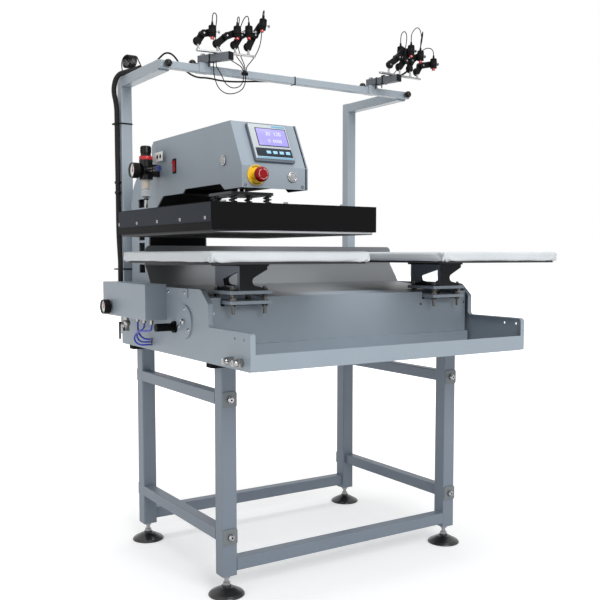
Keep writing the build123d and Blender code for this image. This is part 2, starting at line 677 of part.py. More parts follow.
def head_outline():
    """The C-shaped outline of the head and its column, in Y and Z."""
    y_c, z_c = COLUMN_REAR_Y - SHOULDER_R, SHOULDER_Z
    top_of_arc = z_c + SHOULDER_R
    arc_mid = (y_c + SHOULDER_R * math.sin(math.pi / 4), z_c + SHOULDER_R * math.cos(math.pi / 4))
    lines = Polyline((COLUMN_REAR_Y, z_c), (COLUMN_REAR_Y, CARRIAGE_TOP_Z), (COLUMN_FRONT_Y, CARRIAGE_TOP_Z),
                     (COLUMN_FRONT_Y, 1156), (142, 1237), (-11, 1237), (-27, HEAD_LEDGE_Z),
                     (-260, HEAD_LEDGE_Z), (-286, HEAD_BOTTOM_Z), (HEAD_FRONT_Y, HEAD_BOTTOM_Z),
                     (HEAD_FRONT_Y, HEAD_BREAK_Z), (HEAD_APEX_Y, HEAD_TOP_Z), (HEAD_REAR_Y - 16, HEAD_TOP_Z),
                     (HEAD_REAR_Y, HEAD_TOP_Z - 14), (HEAD_REAR_Y, top_of_arc), (y_c, top_of_arc))
    arc = ThreePointArc((y_c, top_of_arc), arc_mid, (COLUMN_REAR_Y, z_c))
    return make_face(Wire(lines.edges() + arc.edges()))


c_face = head_outline()
column_plates = []
for x0 in (HEAD_LEFT_X, HEAD_RIGHT_X - HEAD_SKIN):
    column_plates.append(slab_x(c_face, x0, x0 + HEAD_SKIN))
in_left, in_right = HEAD_LEFT_X + HEAD_SKIN, HEAD_RIGHT_X - HEAD_SKIN
BUTTON_BORE_R = BUTTON_R + 1.2
column_plates[0] -= disc_x(HEAD_LEFT_X - 1, in_left + 1, SIDE_BUTTON_Y, SIDE_BUTTON_Z, BUTTON_BORE_R)
column_plates[0] -= box(HEAD_LEFT_X - 1, in_left + 1, ROCKER_Y - ROCKER_W / 2, ROCKER_Y + ROCKER_W / 2,
                        ROCKER_Z - ROCKER_H / 2, ROCKER_Z + ROCKER_H / 2)
for step in range(SLOT_COUNT):
    slot_z = SLOT_TOP_Z - step * SLOT_PITCH
    slot = box(HEAD_LEFT_X - 1, HEAD_RIGHT_X + 1, *SLOT_Y, slot_z - SLOT_H, slot_z)
    column_plates = [side - slot for side in column_plates]
nodes["column"] = column_plates

base_z0, base_z1 = HEAD_LEDGE_Z - 12, HEAD_LEDGE_Z
ROD_HOLE_R = ROD_R + RUN_CLEAR
base = box(in_left, in_right, -284, COLUMN_FRONT_Y + 20, base_z0 + 12, base_z1 + 12)
base -= disc_z(LEFT_X, CYLINDER_Y, base_z0, base_z1 + 14, ROD_HOLE_R)
covers = [base]
covers.append(box(in_left, in_right, COLUMN_FRONT_Y, COLUMN_FRONT_Y + COVER_T, CARRIAGE_TOP_Z, 1156))
covers.append(box(in_left, in_right, HEAD_APEX_Y + 8, HEAD_REAR_Y - 16, HEAD_TOP_Z - COVER_T, HEAD_TOP_Z))
covers.append(box(in_left, in_right, COLUMN_REAR_Y - COVER_T, COLUMN_REAR_Y, CARRIAGE_TOP_Z, SHOULDER_Z))
nodes["column_covers"] = covers

slope_y, slope_z = HEAD_APEX_Y - HEAD_FRONT_Y, HEAD_TOP_Z - HEAD_BREAK_Z
slope_len = math.hypot(slope_y, slope_z)
slope_n = (-slope_z / slope_len, slope_y / slope_len)
PANEL_SHEET = 3


def inward(point):
    """A point of the panel's outer line, moved one sheet inwards along the slope."""
    return (point[0] - slope_n[0] * PANEL_SHEET, point[1] - slope_n[1] * PANEL_SHEET)


panel_line = [(HEAD_FRONT_Y + 1, HEAD_BOTTOM_Z), (HEAD_FRONT_Y + 1, HEAD_BREAK_Z), (HEAD_APEX_Y + 1, HEAD_TOP_Z)]
apex_in = inward((HEAD_APEX_Y + 1, HEAD_TOP_Z))
panel_face = make_face(Polyline(*panel_line, apex_in, (HEAD_FRONT_Y + 1 + PANEL_SHEET, HEAD_BREAK_Z - 1),
                                (HEAD_FRONT_Y + 1 + PANEL_SHEET, HEAD_BOTTOM_Z), close=True))
front = slab_x(panel_face, in_left, in_right)
front -= disc_y(ESTOP_X, HEAD_FRONT_Y - 2, HEAD_FRONT_Y + 8, SWITCH_Z, ESTOP_STEM_R + 0.5)
front -= disc_y(BUTTON_X, HEAD_FRONT_Y - 2, HEAD_FRONT_Y + 8, SWITCH_Z, BUTTON_BORE_R)
nodes["control_panel"] = [front]


def press_cylinder():
    """The square air cylinder that stands on the head's base plate."""
    half = CYLINDER_SIDE / 2
    z0 = base_z1 + 12
    z1 = z0 + CYLINDER_H
    body = box(LEFT_X - half, LEFT_X + half, CYLINDER_Y - half, CYLINDER_Y + half, z0, z1)
    body = fillet(body.edges().filter_by(Axis.Z), 8)
    body -= disc_z(LEFT_X, CYLINDER_Y, z0 + CYLINDER_FOOT, z1 - CYLINDER_CAP, CYLINDER_BORE_R)
    return body - disc_z(LEFT_X, CYLINDER_Y, z0 - 1, z0 + CYLINDER_FOOT + 1, ROD_HOLE_R)


nodes["press_cylinder"] = [press_cylinder()]

PLATE_GAP = 1.0
press_top = HEAD_BOTTOM_Z - PLATE_GAP
press_bottom = press_top - PRESS_PLATE_T
piston_z1 = base_z1 + 12 + CYLINDER_H - CYLINDER_CAP - 2
ram = disc_z(LEFT_X, CYLINDER_Y, press_top, piston_z1, ROD_R)
ram += disc_z(LEFT_X, CYLINDER_Y, piston_z1 - PISTON_H, piston_z1, CYLINDER_BORE_R - 2 * RUN_CLEAR)
half = PRESS_PLATE_W / 2
plate = box(LEFT_X - half, LEFT_X + half, CYLINDER_Y - half, CYLINDER_Y + half, press_bottom, press_top)
press_parts = [ram, fillet(plate.edges().filter_by(Axis.Z), 14)]
float_x = [LEFT_X - FLOAT_SPAN, LEFT_X + FLOAT_SPAN]
float_y = [CYLINDER_Y - FLOAT_SPAN, CYLINDER_Y + FLOAT_SPAN]
for px in float_x:
    for py in float_y:
        press_parts.append(disc_z(px, py, CASING_TOP_Z, press_bottom, PIN_R))
nodes["press_plate"] = press_parts


def float_spring(x, y):
    """A die spring round its pin, one unbroken wire from seat to seat."""
    z0 = CASING_TOP_Z + SPRING_WIRE / 2 + 0.2
    height = press_bottom - SPRING_WIRE / 2 - 0.2 - z0
    coil = Pos(x, y, z0) * Helix(height / SPRING_TURNS, height, SPRING_R)
    start = Plane(origin=coil @ 0, z_dir=coil % 0)
    return sweep(start * Circle(SPRING_WIRE / 2), path=coil)


spring_pitch = (press_bottom - CASING_TOP_Z - SPRING_WIRE - 0.4) / SPRING_TURNS
print("spring gap between turns", round(spring_pitch - SPRING_WIRE, 2))
nodes["float_springs"] = [float_spring(px, py) for px in float_x for py in float_y]

# Heat platen
heat_x0, heat_x1 = LEFT_X - HEAT_W / 2, LEFT_X + HEAT_W / 2
heat_y1 = HEAT_FRONT_Y + HEAT_D
casing = box(heat_x0, heat_x1, HEAT_FRONT_Y, heat_y1, CASING_BOTTOM_Z, CASING_TOP_Z)
casing = fillet(casing.edges().filter_by(Axis.Z), 2)
casing -= box(heat_x0 + CASING_SHEET, heat_x1 - CASING_SHEET, HEAT_FRONT_Y + CASING_SHEET,
              heat_y1 - CASING_SHEET, CASING_BOTTOM_Z - 1, CASING_TOP_Z - CASING_SHEET)
side_covers = []
for x0, x1 in ((heat_x0 - SIDE_COVER_T, heat_x0), (heat_x1, heat_x1 + SIDE_COVER_T)):
    side_covers.append(box(x0, x1, HEAT_FRONT_Y + 5, heat_y1 - 5, *SIDE_COVER_Z))
nodes["platen_casing"] = [casing] + side_covers

inset = CASING_SHEET + HEATER_INSET
heater_top = CASING_BOTTOM_Z + HEATER_LAP
heater = box(heat_x0 + inset, heat_x1 - inset, HEAT_FRONT_Y + inset, heat_y1 - inset,
             HEATER_BOTTOM_Z, heater_top)
heater = chamfer(heater.edges().group_by(Axis.Z)[0], HEATER_EDGE)
spacers, top_bolts = [], []
for sx in (-1, 0, 1):
    for sy in (-1, 1):
        spacer_x = LEFT_X + sx * (HEAT_W / 2 - SPACER_INSET)
        spacer_y = HEAT_FRONT_Y + HEAT_D / 2 + sy * (HEAT_D / 2 - SPACER_INSET)
        spacers.append(disc_z(spacer_x, spacer_y, heater_top, CASING_TOP_Z - CASING_SHEET, SPACER_R))
        top_bolts.append(hex_z(spacer_x, spacer_y, CASING_TOP_Z, CASING_TOP_Z + TOP_BOLT_H, 1.1 * SPACER_R))
nodes["heater_plate"] = [heater + spacers]
nodes["press_plate"] += top_bolts

# Controls
panel_tilt = math.degrees(math.atan2(slope_y, slope_z))
lcd_mid_y = (HEAD_FRONT_Y + HEAD_APEX_Y) / 2 + 1 + slope_n[0] * LCD_T / 2
lcd_mid_z = (HEAD_BREAK_Z + HEAD_TOP_Z) / 2 + 1 + slope_n[1] * LCD_T / 2
lcd = Box(LCD_W, LCD_T, LCD_H)
lcd = fillet(lcd.edges().filter_by(Axis.Y), 4)
nodes["controller"] = [Pos(LEFT_X, lcd_mid_y, lcd_mid_z) * Rot(-panel_tilt, 0, 0) * lcd]

panel_y = HEAD_FRONT_Y + 1


def ring_y(x, z, r_out, r_in, t):
    """A bezel on the front panel with its barrel behind."""
    ring = disc_y(x, panel_y - t, panel_y, z, r_out) - disc_y(x, panel_y - t - 1, panel_y + 1, z, r_in)
    return ring


collar_out = ESTOP_NECK - ESTOP_TRAVEL - 1
estop_ring = ring_y(ESTOP_X, SWITCH_Z, ESTOP_RING_R, ESTOP_STEM_R + 0.2, BEZEL_T)
estop_ring += ring_y(ESTOP_X, SWITCH_Z, ESTOP_STEM_R + 6, ESTOP_STEM_R + 0.2, collar_out)
front_bezel = ring_y(BUTTON_X, SWITCH_Z, BEZEL_R, BUTTON_R + 0.2, BEZEL_T)
side_bezel = disc_x(HEAD_LEFT_X - BEZEL_T, HEAD_LEFT_X, SIDE_BUTTON_Y, SIDE_BUTTON_Z, BEZEL_R)
side_bezel -= disc_x(HEAD_LEFT_X - BEZEL_T - 1, HEAD_LEFT_X + 1, SIDE_BUTTON_Y, SIDE_BUTTON_Z, BUTTON_R + 0.2)
ry, rz = ROCKER_W / 2, ROCKER_H / 2
pivot_x = HEAD_LEFT_X + 3
rocker_frame = box(HEAD_LEFT_X - 2, HEAD_LEFT_X, ROCKER_Y - ry - 3, ROCKER_Y + ry + 3,
                   ROCKER_Z - rz - 3, ROCKER_Z + rz + 3)
rocker_frame += box(HEAD_LEFT_X - 1, HEAD_LEFT_X + 20, ROCKER_Y - ry, ROCKER_Y + ry, ROCKER_Z - rz, ROCKER_Z + rz)
rocker_frame -= box(HEAD_LEFT_X - 3, HEAD_LEFT_X + 18, ROCKER_Y - ry + ROCKER_WALL, ROCKER_Y + ry - ROCKER_WALL,
                    ROCKER_Z - rz + ROCKER_WALL, ROCKER_Z + rz - ROCKER_WALL)
rocker_frame -= disc_y(pivot_x, ROCKER_Y - ry - 1, ROCKER_Y + ry + 1, ROCKER_Z, ROCKER_PIN_R + RUN_CLEAR)
nodes["switch_bodies"] = [estop_ring, front_bezel, side_bezel, rocker_frame]

cap_back = SWITCH_DEPTH + ESTOP_NECK
cap_front = cap_back + ESTOP_CAP_H
cap_section = outline([(0, 0), (ESTOP_STEM_R, 0), (ESTOP_STEM_R, cap_back), (ESTOP_CAP_R, cap_back + 1),
                       (ESTOP_CAP_R, cap_front - 4), (0.6 * ESTOP_CAP_R, cap_front), (0, cap_front)],
                      [0, 0, 2, 2, 6, 4, 0])
cap = revolve(Plane.XZ * cap_section, Axis.Z)
nodes["estop_button"] = [Pos(ESTOP_X, panel_y + SWITCH_DEPTH, SWITCH_Z) * Rot(90, 0, 0) * cap]

BUTTON_OUT = BEZEL_T + BUTTON_TRAVEL
nodes["front_button"] = [disc_y(BUTTON_X, panel_y - BUTTON_OUT, panel_y + SWITCH_DEPTH, SWITCH_Z, BUTTON_R)]
nodes["side_button"] = [disc_x(HEAD_LEFT_X - BUTTON_OUT, HEAD_LEFT_X + SWITCH_DEPTH, SIDE_BUTTON_Y,
                               SIDE_BUTTON_Z, BUTTON_R)]

rocker_half = ROCKER_H / 2 - ROCKER_WALL - 1.5
rocker_face = outline([(-3, -rocker_half), (9, -rocker_half), (6, 0), (9, rocker_half), (-3, rocker_half)],
                      [1, 1, 30, 1, 1])
rocker_key = extrude(Plane.XZ * rocker_face, ROCKER_W / 2 - ROCKER_WALL - 0.3, both=True)
rocker_key += Rot(90, 0, 0) * Cylinder(ROCKER_PIN_R, ROCKER_W - 0.6)
nodes["rocker"] = [Pos(pivot_x, ROCKER_Y, ROCKER_Z) * Rot(0, 180 - ROCKER_TILT, 0) * rocker_key]

# Air preparation unit on the column's left side


FRL_BOWL_TOP = FRL_Z - 29
FRL_TOP = FRL_Z + 35


def filter_regulator():
    """The body with its ports, the bracket to the column and the drain."""
    half = FRL_BODY / 2
    body = disc_z(FRL_X, FRL_Y, FRL_BOWL_TOP, FRL_TOP, half - 1)
    body += box(FRL_X - 16, FRL_X + 16, FRL_Y - half, FRL_Y + half, FRL_Z - 13, FRL_Z + 13)
    body += disc_y(FRL_X, FRL_Y - half - 14, FRL_Y - half, FRL_Z, 10)
    body += box(FRL_X + 14, HEAD_LEFT_X, FRL_Y - 12, FRL_Y + 12, FRL_Z - 19, FRL_Z + 21)
    elbow = disc_y(FRL_X, FRL_Y - half - 44, FRL_Y - half - 14, FRL_Z, 8)
    ring = disc_z(FRL_X, FRL_Y, FRL_TOP, FRL_TOP + FRL_RING_H, half - 2)
    return [body, elbow, ring]


nodes["filter_regulator"] = filter_regulator()
knob_z = FRL_TOP + FRL_RING_H + 0.3
knob = disc_z(FRL_X, FRL_Y, knob_z, knob_z + FRL_KNOB_H, FRL_KNOB_R)
nodes["regulator_knob"] = [fillet(knob.edges().group_by(Axis.Z)[-1], 4)]
bowl_z = FRL_BOWL_TOP - FRL_BOWL_H
bowl_section = outline([(0, bowl_z), (8, bowl_z), (FRL_BOWL_R, bowl_z + 12), (FRL_BOWL_R, FRL_BOWL_TOP),
                        (0, FRL_BOWL_TOP)], [0, 2, 6, 0, 0])
bowl = Pos(FRL_X, FRL_Y, 0) * revolve(Plane.XZ * bowl_section, Axis.Z)
nodes["filter_bowl"] = [bowl, disc_z(FRL_X, FRL_Y, bowl_z - 28, bowl_z, 6)]


def gauge(x_back, y, z):
    """A round pressure gauge facing -X: a case with a recess, its stem and its lens."""
    x_face = x_back - GAUGE_T
    case = disc_x(x_face, x_back, y, z, GAUGE_R)
    case = fillet(case.edges().group_by(Axis.X)[0], 1.5)
    case -= disc_x(x_face - 1, x_face + 6, y, z, GAUGE_R - 3)
    pin = disc_x(x_face + 2.5, x_face + 6, y, z, 1.2)
    lens = disc_x(x_face + 0.5, x_face + 1.7, y, z, GAUGE_R - 3.02)
    return [case + pin, lens]


def needle(x_back, y, z, angle):
    """A needle on its pin, behind the lens."""
    x0 = x_back - GAUGE_T + 2.6
    blade = outline([(-6, -1.6), (17, -0.5), (17, 0.5), (-6, 1.6)], [0, 0, 0, 0])
    shape = extrude(Plane.YZ * (blade + Circle(3.2)), GAUGE_NEEDLE) - Cylinder(1.25, 9, rotation=(0, 90, 0))
    return Pos(x0, y, z) * Rot(angle, 0, 0) * shape


LINE_GAUGE_X = FRL_X - FRL_BODY / 2 - 5
line_case, line_lens = gauge(LINE_GAUGE_X, FRL_Y, FRL_Z)
line_case += disc_x(LINE_GAUGE_X, FRL_X - 16, FRL_Y, FRL_Z, 7)
nodes["line_gauge"] = [line_case - filter_regulator()[0], line_lens]
nodes["line_needle"] = [needle(LINE_GAUGE_X, FRL_Y, FRL_Z, 90)]

# Valve box and the air line pieces on the left side plate
shell = box(BOX_X, -CHASSIS_HALF_W, BOX_FRONT_Y, BOX_REAR_Y, BOX_BOTTOM_Z, BOX_TOP_Z)
shell = fillet(shell.edges().filter_by(Axis.Y).sort_by(Axis.X)[:2], 3)
shell -= box(BOX_X + 2, -CHASSIS_HALF_W - 2, BOX_FRONT_Y + 2, BOX_REAR_Y - 2, BOX_BOTTOM_Z + 2, BOX_TOP_Z - 2)
nodes["valve_box"] = [shell]

SUPPLY_GAUGE_X = BOX_X - 6
supply_case, supply_lens = gauge(SUPPLY_GAUGE_X, BOX_GAUGE_Y, BOX_GAUGE_Z)
supply_case += disc_x(SUPPLY_GAUGE_X, BOX_X, BOX_GAUGE_Y, BOX_GAUGE_Z, 8)
nodes["supply_gauge"] = [supply_case, supply_lens]
nodes["supply_needle"] = [needle(SUPPLY_GAUGE_X, BOX_GAUGE_Y, BOX_GAUGE_Z, 90)]

valve_z = BOX_BOTTOM_Z - VALVE_DROP
valve_low = valve_z - VALVE_BALL_R
lever_x = VALVE_X - 22
valve = disc_z(VALVE_X, VALVE_Y, valve_low, BOX_BOTTOM_Z, 9)
valve += Pos(VALVE_X, VALVE_Y, valve_z) * Sphere(VALVE_BALL_R)
valve += disc_x(lever_x, VALVE_X, VALVE_Y, valve_z, 5)
valve += hex_z(VALVE_X, VALVE_Y, valve_low - 12, valve_low, 20)
fittings = [valve]
for fit_y in COUPLER_Y:
    fit = disc_x(-CHASSIS_HALF_W - COUPLER_L, -CHASSIS_HALF_W, fit_y, COUPLER_Z, COUPLER_R)
    hexagon = RegularPolygon(COUPLER_R + 2.5, 6, major_radius=False)
    fit += slab_x(Pos(fit_y, COUPLER_Z) * hexagon, -CHASSIS_HALF_W - COUPLER_L / 2, -CHASSIS_HALF_W)
    fittings.append(fit)
TUBE_PORTS = ((-560, 240), (-567, 165), (-574, 88))
for tx, ty in TUBE_PORTS:
    fittings.append(disc_z(tx, ty, BOX_BOTTOM_Z - 14, BOX_BOTTOM_Z, TUBE_R + 3))
GROMMETS = ((197, 766), (200, 757), (200, 748))
for gy, gz in GROMMETS:
    fittings.append(disc_x(-CHASSIS_HALF_W - GROMMET_T, -CHASSIS_HALF_W, gy, gz, TUBE_R + 1.2))
nodes["air_fittings"] = fittings
lever = box(lever_x - 3, lever_x, VALVE_Y - 6, VALVE_Y + 6, valve_z - LEVER_L, valve_z + 6)
nodes["shutoff_lever"] = [fillet(lever.edges().filter_by(Axis.X), 5)]

tube_routes = [
    [(-560, 240, 824), (-560, 240, 807), (-560, 236, 790), (-558, 223, 777), (-552, 208, 768),
     (-542, 197, 766), (-532, 197, 766)],
    [(-567, 165, 824), (-567, 165, 814), (-567, 177, 802), (-567, 205, 796), (-566, 228, 788),
     (-564, 240, 774), (-560, 232, 760), (-553, 215, 756), (-543, 200, 757), (-532, 200, 757)],
    [(-574, 88, 824), (-574, 88, 813), (-574, 100, 803), (-574, 122, 801), (-575, 150, 798),
     (-574, 180, 796), (-574, 208, 789), (-573, 234, 779), (-571, 246, 763), (-566, 236, 750), (-557, 216, 746),
     (-545, 200, 748), (-532, 200, 748)],
]
nodes["air_tubes"] = [cord_tube(route, TUBE_R, f"air tube {i + 1}") for i, route in enumerate(tube_routes)]

# Overhead frame


def mast(side):
    """A mast behind the chassis with its arm reaching forward, as two welded tubes."""
    x0, x1 = sorted((side * MAST_OUT_X, side * (MAST_OUT_X - MAST)))
    arm_top = ARM_BOTTOM_Z + ARM_H
    y0, y1 = CHASSIS_REAR_Y, CHASSIS_REAR_Y + MAST
    post = box(x0, x1, y0, y1, MAST_BOTTOM_Z, arm_top)
    post = fillet(post.edges().filter_by(Axis.Z), 3)
    post -= box(x0 + MAST_WALL, x1 - MAST_WALL, y0 + MAST_WALL, y1 - MAST_WALL,
                MAST_BOTTOM_Z + 2, arm_top - 2)
    arm = box(x0, x1, ARM_FRONT_Y, y0, ARM_BOTTOM_Z, arm_top)
    arm = fillet(arm.edges().filter_by(Axis.Y), 3)
    arm -= box(x0 + MAST_WALL, x1 - MAST_WALL, ARM_FRONT_Y + 2, y0 - 2,
               ARM_BOTTOM_Z + MAST_WALL, arm_top - MAST_WALL)
    return [post, arm]


nodes["mast_left"] = mast(-1)
nodes["mast_right"] = mast(1)

beam_z0, beam_z1 = ARM_MID_Z - BEAM / 2, ARM_MID_Z + BEAM / 2
beam_y0, beam_y1 = ARM_FRONT_Y - BEAM, ARM_FRONT_Y
beam = box(-MAST_OUT_X, MAST_OUT_X, beam_y0, beam_y1, beam_z0, beam_z1)
beam = fillet(beam.edges().filter_by(Axis.X), 2.5)
beam -= box(-MAST_OUT_X + 2, MAST_OUT_X - 2, beam_y0 + BEAM_WALL, beam_y1 - BEAM_WALL,
            beam_z0 + BEAM_WALL, beam_z1 - BEAM_WALL)
beam_parts = [beam]
for side in (-1, 1):
    knob = Pos(side * MAST_MID_X, beam_y0 - 15, ARM_MID_Z) * Sphere(BALL_R)
    knob += disc_y(side * MAST_MID_X, beam_y0 - 8, beam_y0, ARM_MID_Z, 5)
    beam_parts.append(knob)

LASER_STATIONS = {
    "left": {"x": -360, "swing": 27, "reach": 112, "bar_at": 70, "bar_turn": -5.8, "bar_shift": 22},
    "right": {"x": 338, "swing": 14, "reach": 130, "bar_at": 105, "bar_turn": 5, "bar_shift": 36},
}
SADDLE_W = 40
SADDLE_T = 4
for station in LASER_STATIONS.values():
    cx = station["x"]
    saddle = box(cx - SADDLE_W / 2, cx + SADDLE_W / 2, beam_y0 - SADDLE_T, beam_y1 + SADDLE_T,
                 beam_z0, LASER_ARM_Z - LASER_ARM / 2)
    saddle -= box(cx - SADDLE_W, cx + SADDLE_W, beam_y0, beam_y1, beam_z0 - 1, beam_z1)
    saddle -= disc_z(cx, BEAM_Y, beam_z1 - 1, LASER_ARM_Z, PIVOT_R + RUN_CLEAR)
    grip = disc_x(cx - SADDLE_W / 2 - 12, cx - SADDLE_W / 2, BEAM_Y, beam_z1 + 3, 3)
    grip += Pos(cx - SADDLE_W / 2 - 18, BEAM_Y, beam_z1 + 3) * Sphere(BALL_R - 1)
    beam_parts += [saddle + grip]
nodes["laser_beam"] = beam_parts


# Each pointer in its bar's plane: post, then knuckle, elbow and barrel from the post, lean, side.
POINTERS = {
    "left": [
        (-94, (-4, 27), (11, 49), (36, 56), 0, -1),
        (-31, (0, 26), (28, 50), (60, 64), 0, -1),
        (28, (3, 28), (21, 57), (42, 69), 0, -1),
        (77, (2, 27), (20, 63), (43, 98), 8, -1),
    ],
    "right": [
        (-59, (0, 30), (47, 62), (84, 94), 0, 1),
        (-5, (2, 30), (21, 52), (35, 90), 0, -1),
        (44, (7, 30), (2, 57), (35, 77), 0, -1),
        (79, (9, 24), (24, 47), (70, 58), 0, -1),
    ],
}


def bar_frame(name):
    """The place of a pointer bar: its middle on top of the arm, turned with its own angle."""
    station = LASER_STATIONS[name]
    turn = math.radians(station["swing"])
    x = station["x"] + station["bar_at"] * math.sin(turn)
    y = BEAM_Y - station["bar_at"] * math.cos(turn)
    top = LASER_ARM_Z + LASER_ARM / 2
    return Pos(x, y, top) * Rot(0, 0, station["bar_turn"]) * Pos(station["bar_shift"], 0, 0)


def barrel_frame(name, index):
    """The place of a barrel's middle, with Z along its axis towards its cable."""
    along, knuckle, elbow, barrel, lean, side = POINTERS[name][index]
    depth = side * (1.5 * LINK_T + SLEEVE_R)
    return bar_frame(name) * Pos(along + barrel[0], depth, BAR_T + barrel[1]) * Rot(0, lean, 0)


def link_between(a, b, y):
    """A flat link with round ends between two points of the bar's plane."""
    middle = Pos((a[0] + b[0]) / 2, y, (a[1] + b[1]) / 2)
    tilt = math.degrees(math.atan2(b[1] - a[1], b[0] - a[0]))
    length = math.hypot(b[0] - a[0], b[1] - a[1])
    flat = extrude(SlotCenterToCenter(length, 2 * LINK_R), LINK_T / 2, both=True)
    return middle * Rot(0, -tilt, 0) * Rot(90, 0, 0) * flat


def pointer_mount(name, index):
    """A post and its two links; the second ends in a sleeve round the barrel."""
    along, knuckle, elbow, barrel, lean, side = POINTERS[name][index]
    place = bar_frame(name) * Pos(along, 0, BAR_T)
    a, b, c = knuckle, elbow, barrel
    y = side * LINK_T
    post_top = a[1] - LINK_R + 1
    post = Pos(a[0], 0, post_top / 2) * Cylinder(POST_R, post_top)
    post += Pos(a[0], 0, 2) * Cylinder(POST_R + 2, 4)
    first = link_between(a, b, 0) + post
    second = link_between(b, c, y)
    second += Pos(b[0], y + side * (LINK_T / 2 + 2), b[1]) * Rot(90, 0, 0) * Cylinder(5, 4)
    sleeve_place = Pos(c[0], side * (1.5 * LINK_T + SLEEVE_R), c[1]) * Rot(0, lean, 0)
    second += Pos(c[0], side * (1.5 * LINK_T + 2), c[1]) * Rot(0, lean, 0) * Box(10, 8, SLEEVE_H)
    second += sleeve_place * Cylinder(SLEEVE_R, SLEEVE_H)
    second -= sleeve_place * Cylinder(BARREL_R + RUN_CLEAR, SLEEVE_H + 2)
    return [place * first, place * second]


def laser_arm(name):
    """A square arm on its saddle, the bar across it, the posts and the pointer links."""
    station = LASER_STATIONS[name]
    half, wall = LASER_ARM / 2, BEAM_WALL
    z0, z1 = LASER_ARM_Z - half, LASER_ARM_Z + half
    arm = box(-half, station["reach"], -half, half, z0, z1)
    arm = fillet(arm.edges().filter_by(Axis.X), 2)
    arm -= box(-half + wall, station["reach"] - wall, -half + wall, half - wall, z0 + wall, z1 - wall)
    arm = Pos(station["x"], BEAM_Y, 0) * Rot(0, 0, -90 + station["swing"]) * arm
    pivot = disc_z(station["x"], BEAM_Y, beam_z1 + 0.5, z1, PIVOT_R)
    pivot += hex_z(station["x"], BEAM_Y, z1, z1 + PIVOT_HEAD_H, 3 * PIVOT_R)
    arm -= disc_z(station["x"], BEAM_Y, z0 - 1, z1 + 1, PIVOT_R)
    solids = [arm, pivot]
    bar = Pos(0, 0, BAR_T / 2) * Box(BAR_L, BAR_W, BAR_T)
    solids.append(bar_frame(name) * fillet(bar.edges().filter_by(Axis.Z), 6))
    for index in range(len(POINTERS[name])):
        solids += pointer_mount(name, index)
    return solids


nodes["laser_arm_left"] = laser_arm("left")
nodes["laser_arm_right"] = laser_arm("right")

BOOT_TOP = BARREL_L / 2 + 12


def laser_barrel():
    """A pointer barrel: lens tip below, cooling ribs above and the cable boot on top."""
    half, tip, rib = BARREL_L / 2, BARREL_R * 0.6, BARREL_R - 1.6
    points = [(0, -half - 8), (tip, -half - 8), (tip, -half), (BARREL_R, -half), (BARREL_R, half - 8)]
    for step in range(2):
        z = half - 8 + 4 * step
        points += [(rib, z), (rib, z + 2), (BARREL_R, z + 2), (BARREL_R, z + 4)]
    points += [(4.5, half), (3, BOOT_TOP), (0, BOOT_TOP)]
    return revolve(Plane.XZ * make_face(Polyline(*points, close=True)), Axis.Z)


laser_axes = {}
for name, first in (("left", 1), ("right", 5)):
    for index in range(len(POINTERS[name])):
        place = barrel_frame(name, index)
        nodes[f"laser_{first + index}"] = [place * laser_barrel()]
        axis = (place * Pos(0, 0, 1)).position - place.position
        laser_axes[first + index] = (place.position, axis)


def boot_exit(name, index, *heights):
    """The points where a cable leaves its boot, straight along the barrel's axis."""
    place = barrel_frame(name, index)
    points = [(place * Pos(0, 0, BOOT_TOP + h)).position for h in (0, *heights)]
    return [(p.X, p.Y, p.Z) for p in points]


TIE_LEFT = (-240, 70, 1645)
TIE_RIGHT = (352, 82, 1706.5)
TIE_PITCH = 3.8
TIE_T = 6


def tie_block(centre, size):
    """A cable tie drawn tight, as a plain block that the cables meet on both faces."""
    return Pos(*centre) * Box(*size)


def left_cables():
    """The four cables of the left pointers, their tie and the loops under the arm."""
    tx, ty, tz = TIE_LEFT
    top = [(tx + (i - 1.5) * TIE_PITCH, ty, tz + TIE_T / 2) for i in range(4)]
    ends = [[(p[0], p[1], p[2] + 16), p] for p in top]
    routes = [
        boot_exit("left", 0, 20) + [(-354, 63, 1827), (-340, 72, 1820), (-335, 90, 1794), (-332, 104, 1762),
                                    (-320, 108, 1730), (-296, 100, 1700), (-266, 84, 1680)] + ends[0],
        boot_exit("left", 1, 16) + [(-264, 60, 1825), (-255, 80, 1808), (-255, 97, 1776), (-260, 104, 1742),
                                    (-258, 98, 1708), (-248, 80, 1684)] + ends[1],
        boot_exit("left", 2, 18) + [(-241, 60, 1831), (-245, 80, 1812), (-248, 94, 1778), (-252, 96, 1742),
                                    (-246, 88, 1706), (-240, 76, 1682)] + ends[2],
        boot_exit("left", 3, 15) + [(-177, 52, 1857), (-170, 72, 1842), (-167, 82, 1804), (-168, 84, 1768),
                                    (-180, 82, 1732), (-204, 78, 1698), (-226, 73, 1676)] + ends[3],
    ]
    bottom = [(tx + (i - 0.5) * 2 * TIE_PITCH, ty, tz - TIE_T / 2) for i in range(2)]
    arm_z = LASER_ARM_Z - LASER_ARM / 2
    loops = [
        [bottom[0], (bottom[0][0], ty, tz - 20), (-256, 72, 1602), (-284, 76, 1594), (-308, 80, 1608),
         (-318, 84, 1634), (-330, 87, 1654), (-337, 88, arm_z - 14), (-337, 88, arm_z)],
        [bottom[1], (bottom[1][0], ty, tz - 20), (-242, 74, 1598), (-268, 80, 1580), (-302, 86, 1576),
         (-326, 92, 1592), (-337, 96, 1620), (-342, 97, 1650), (-342, 97, arm_z)],
    ]
    tubes = [cord_tube(route, LASER_CABLE_R, f"left cable {i + 1}") for i, route in enumerate(routes + loops)]
    return tubes + [tie_block(TIE_LEFT, (18, 8, TIE_T))]


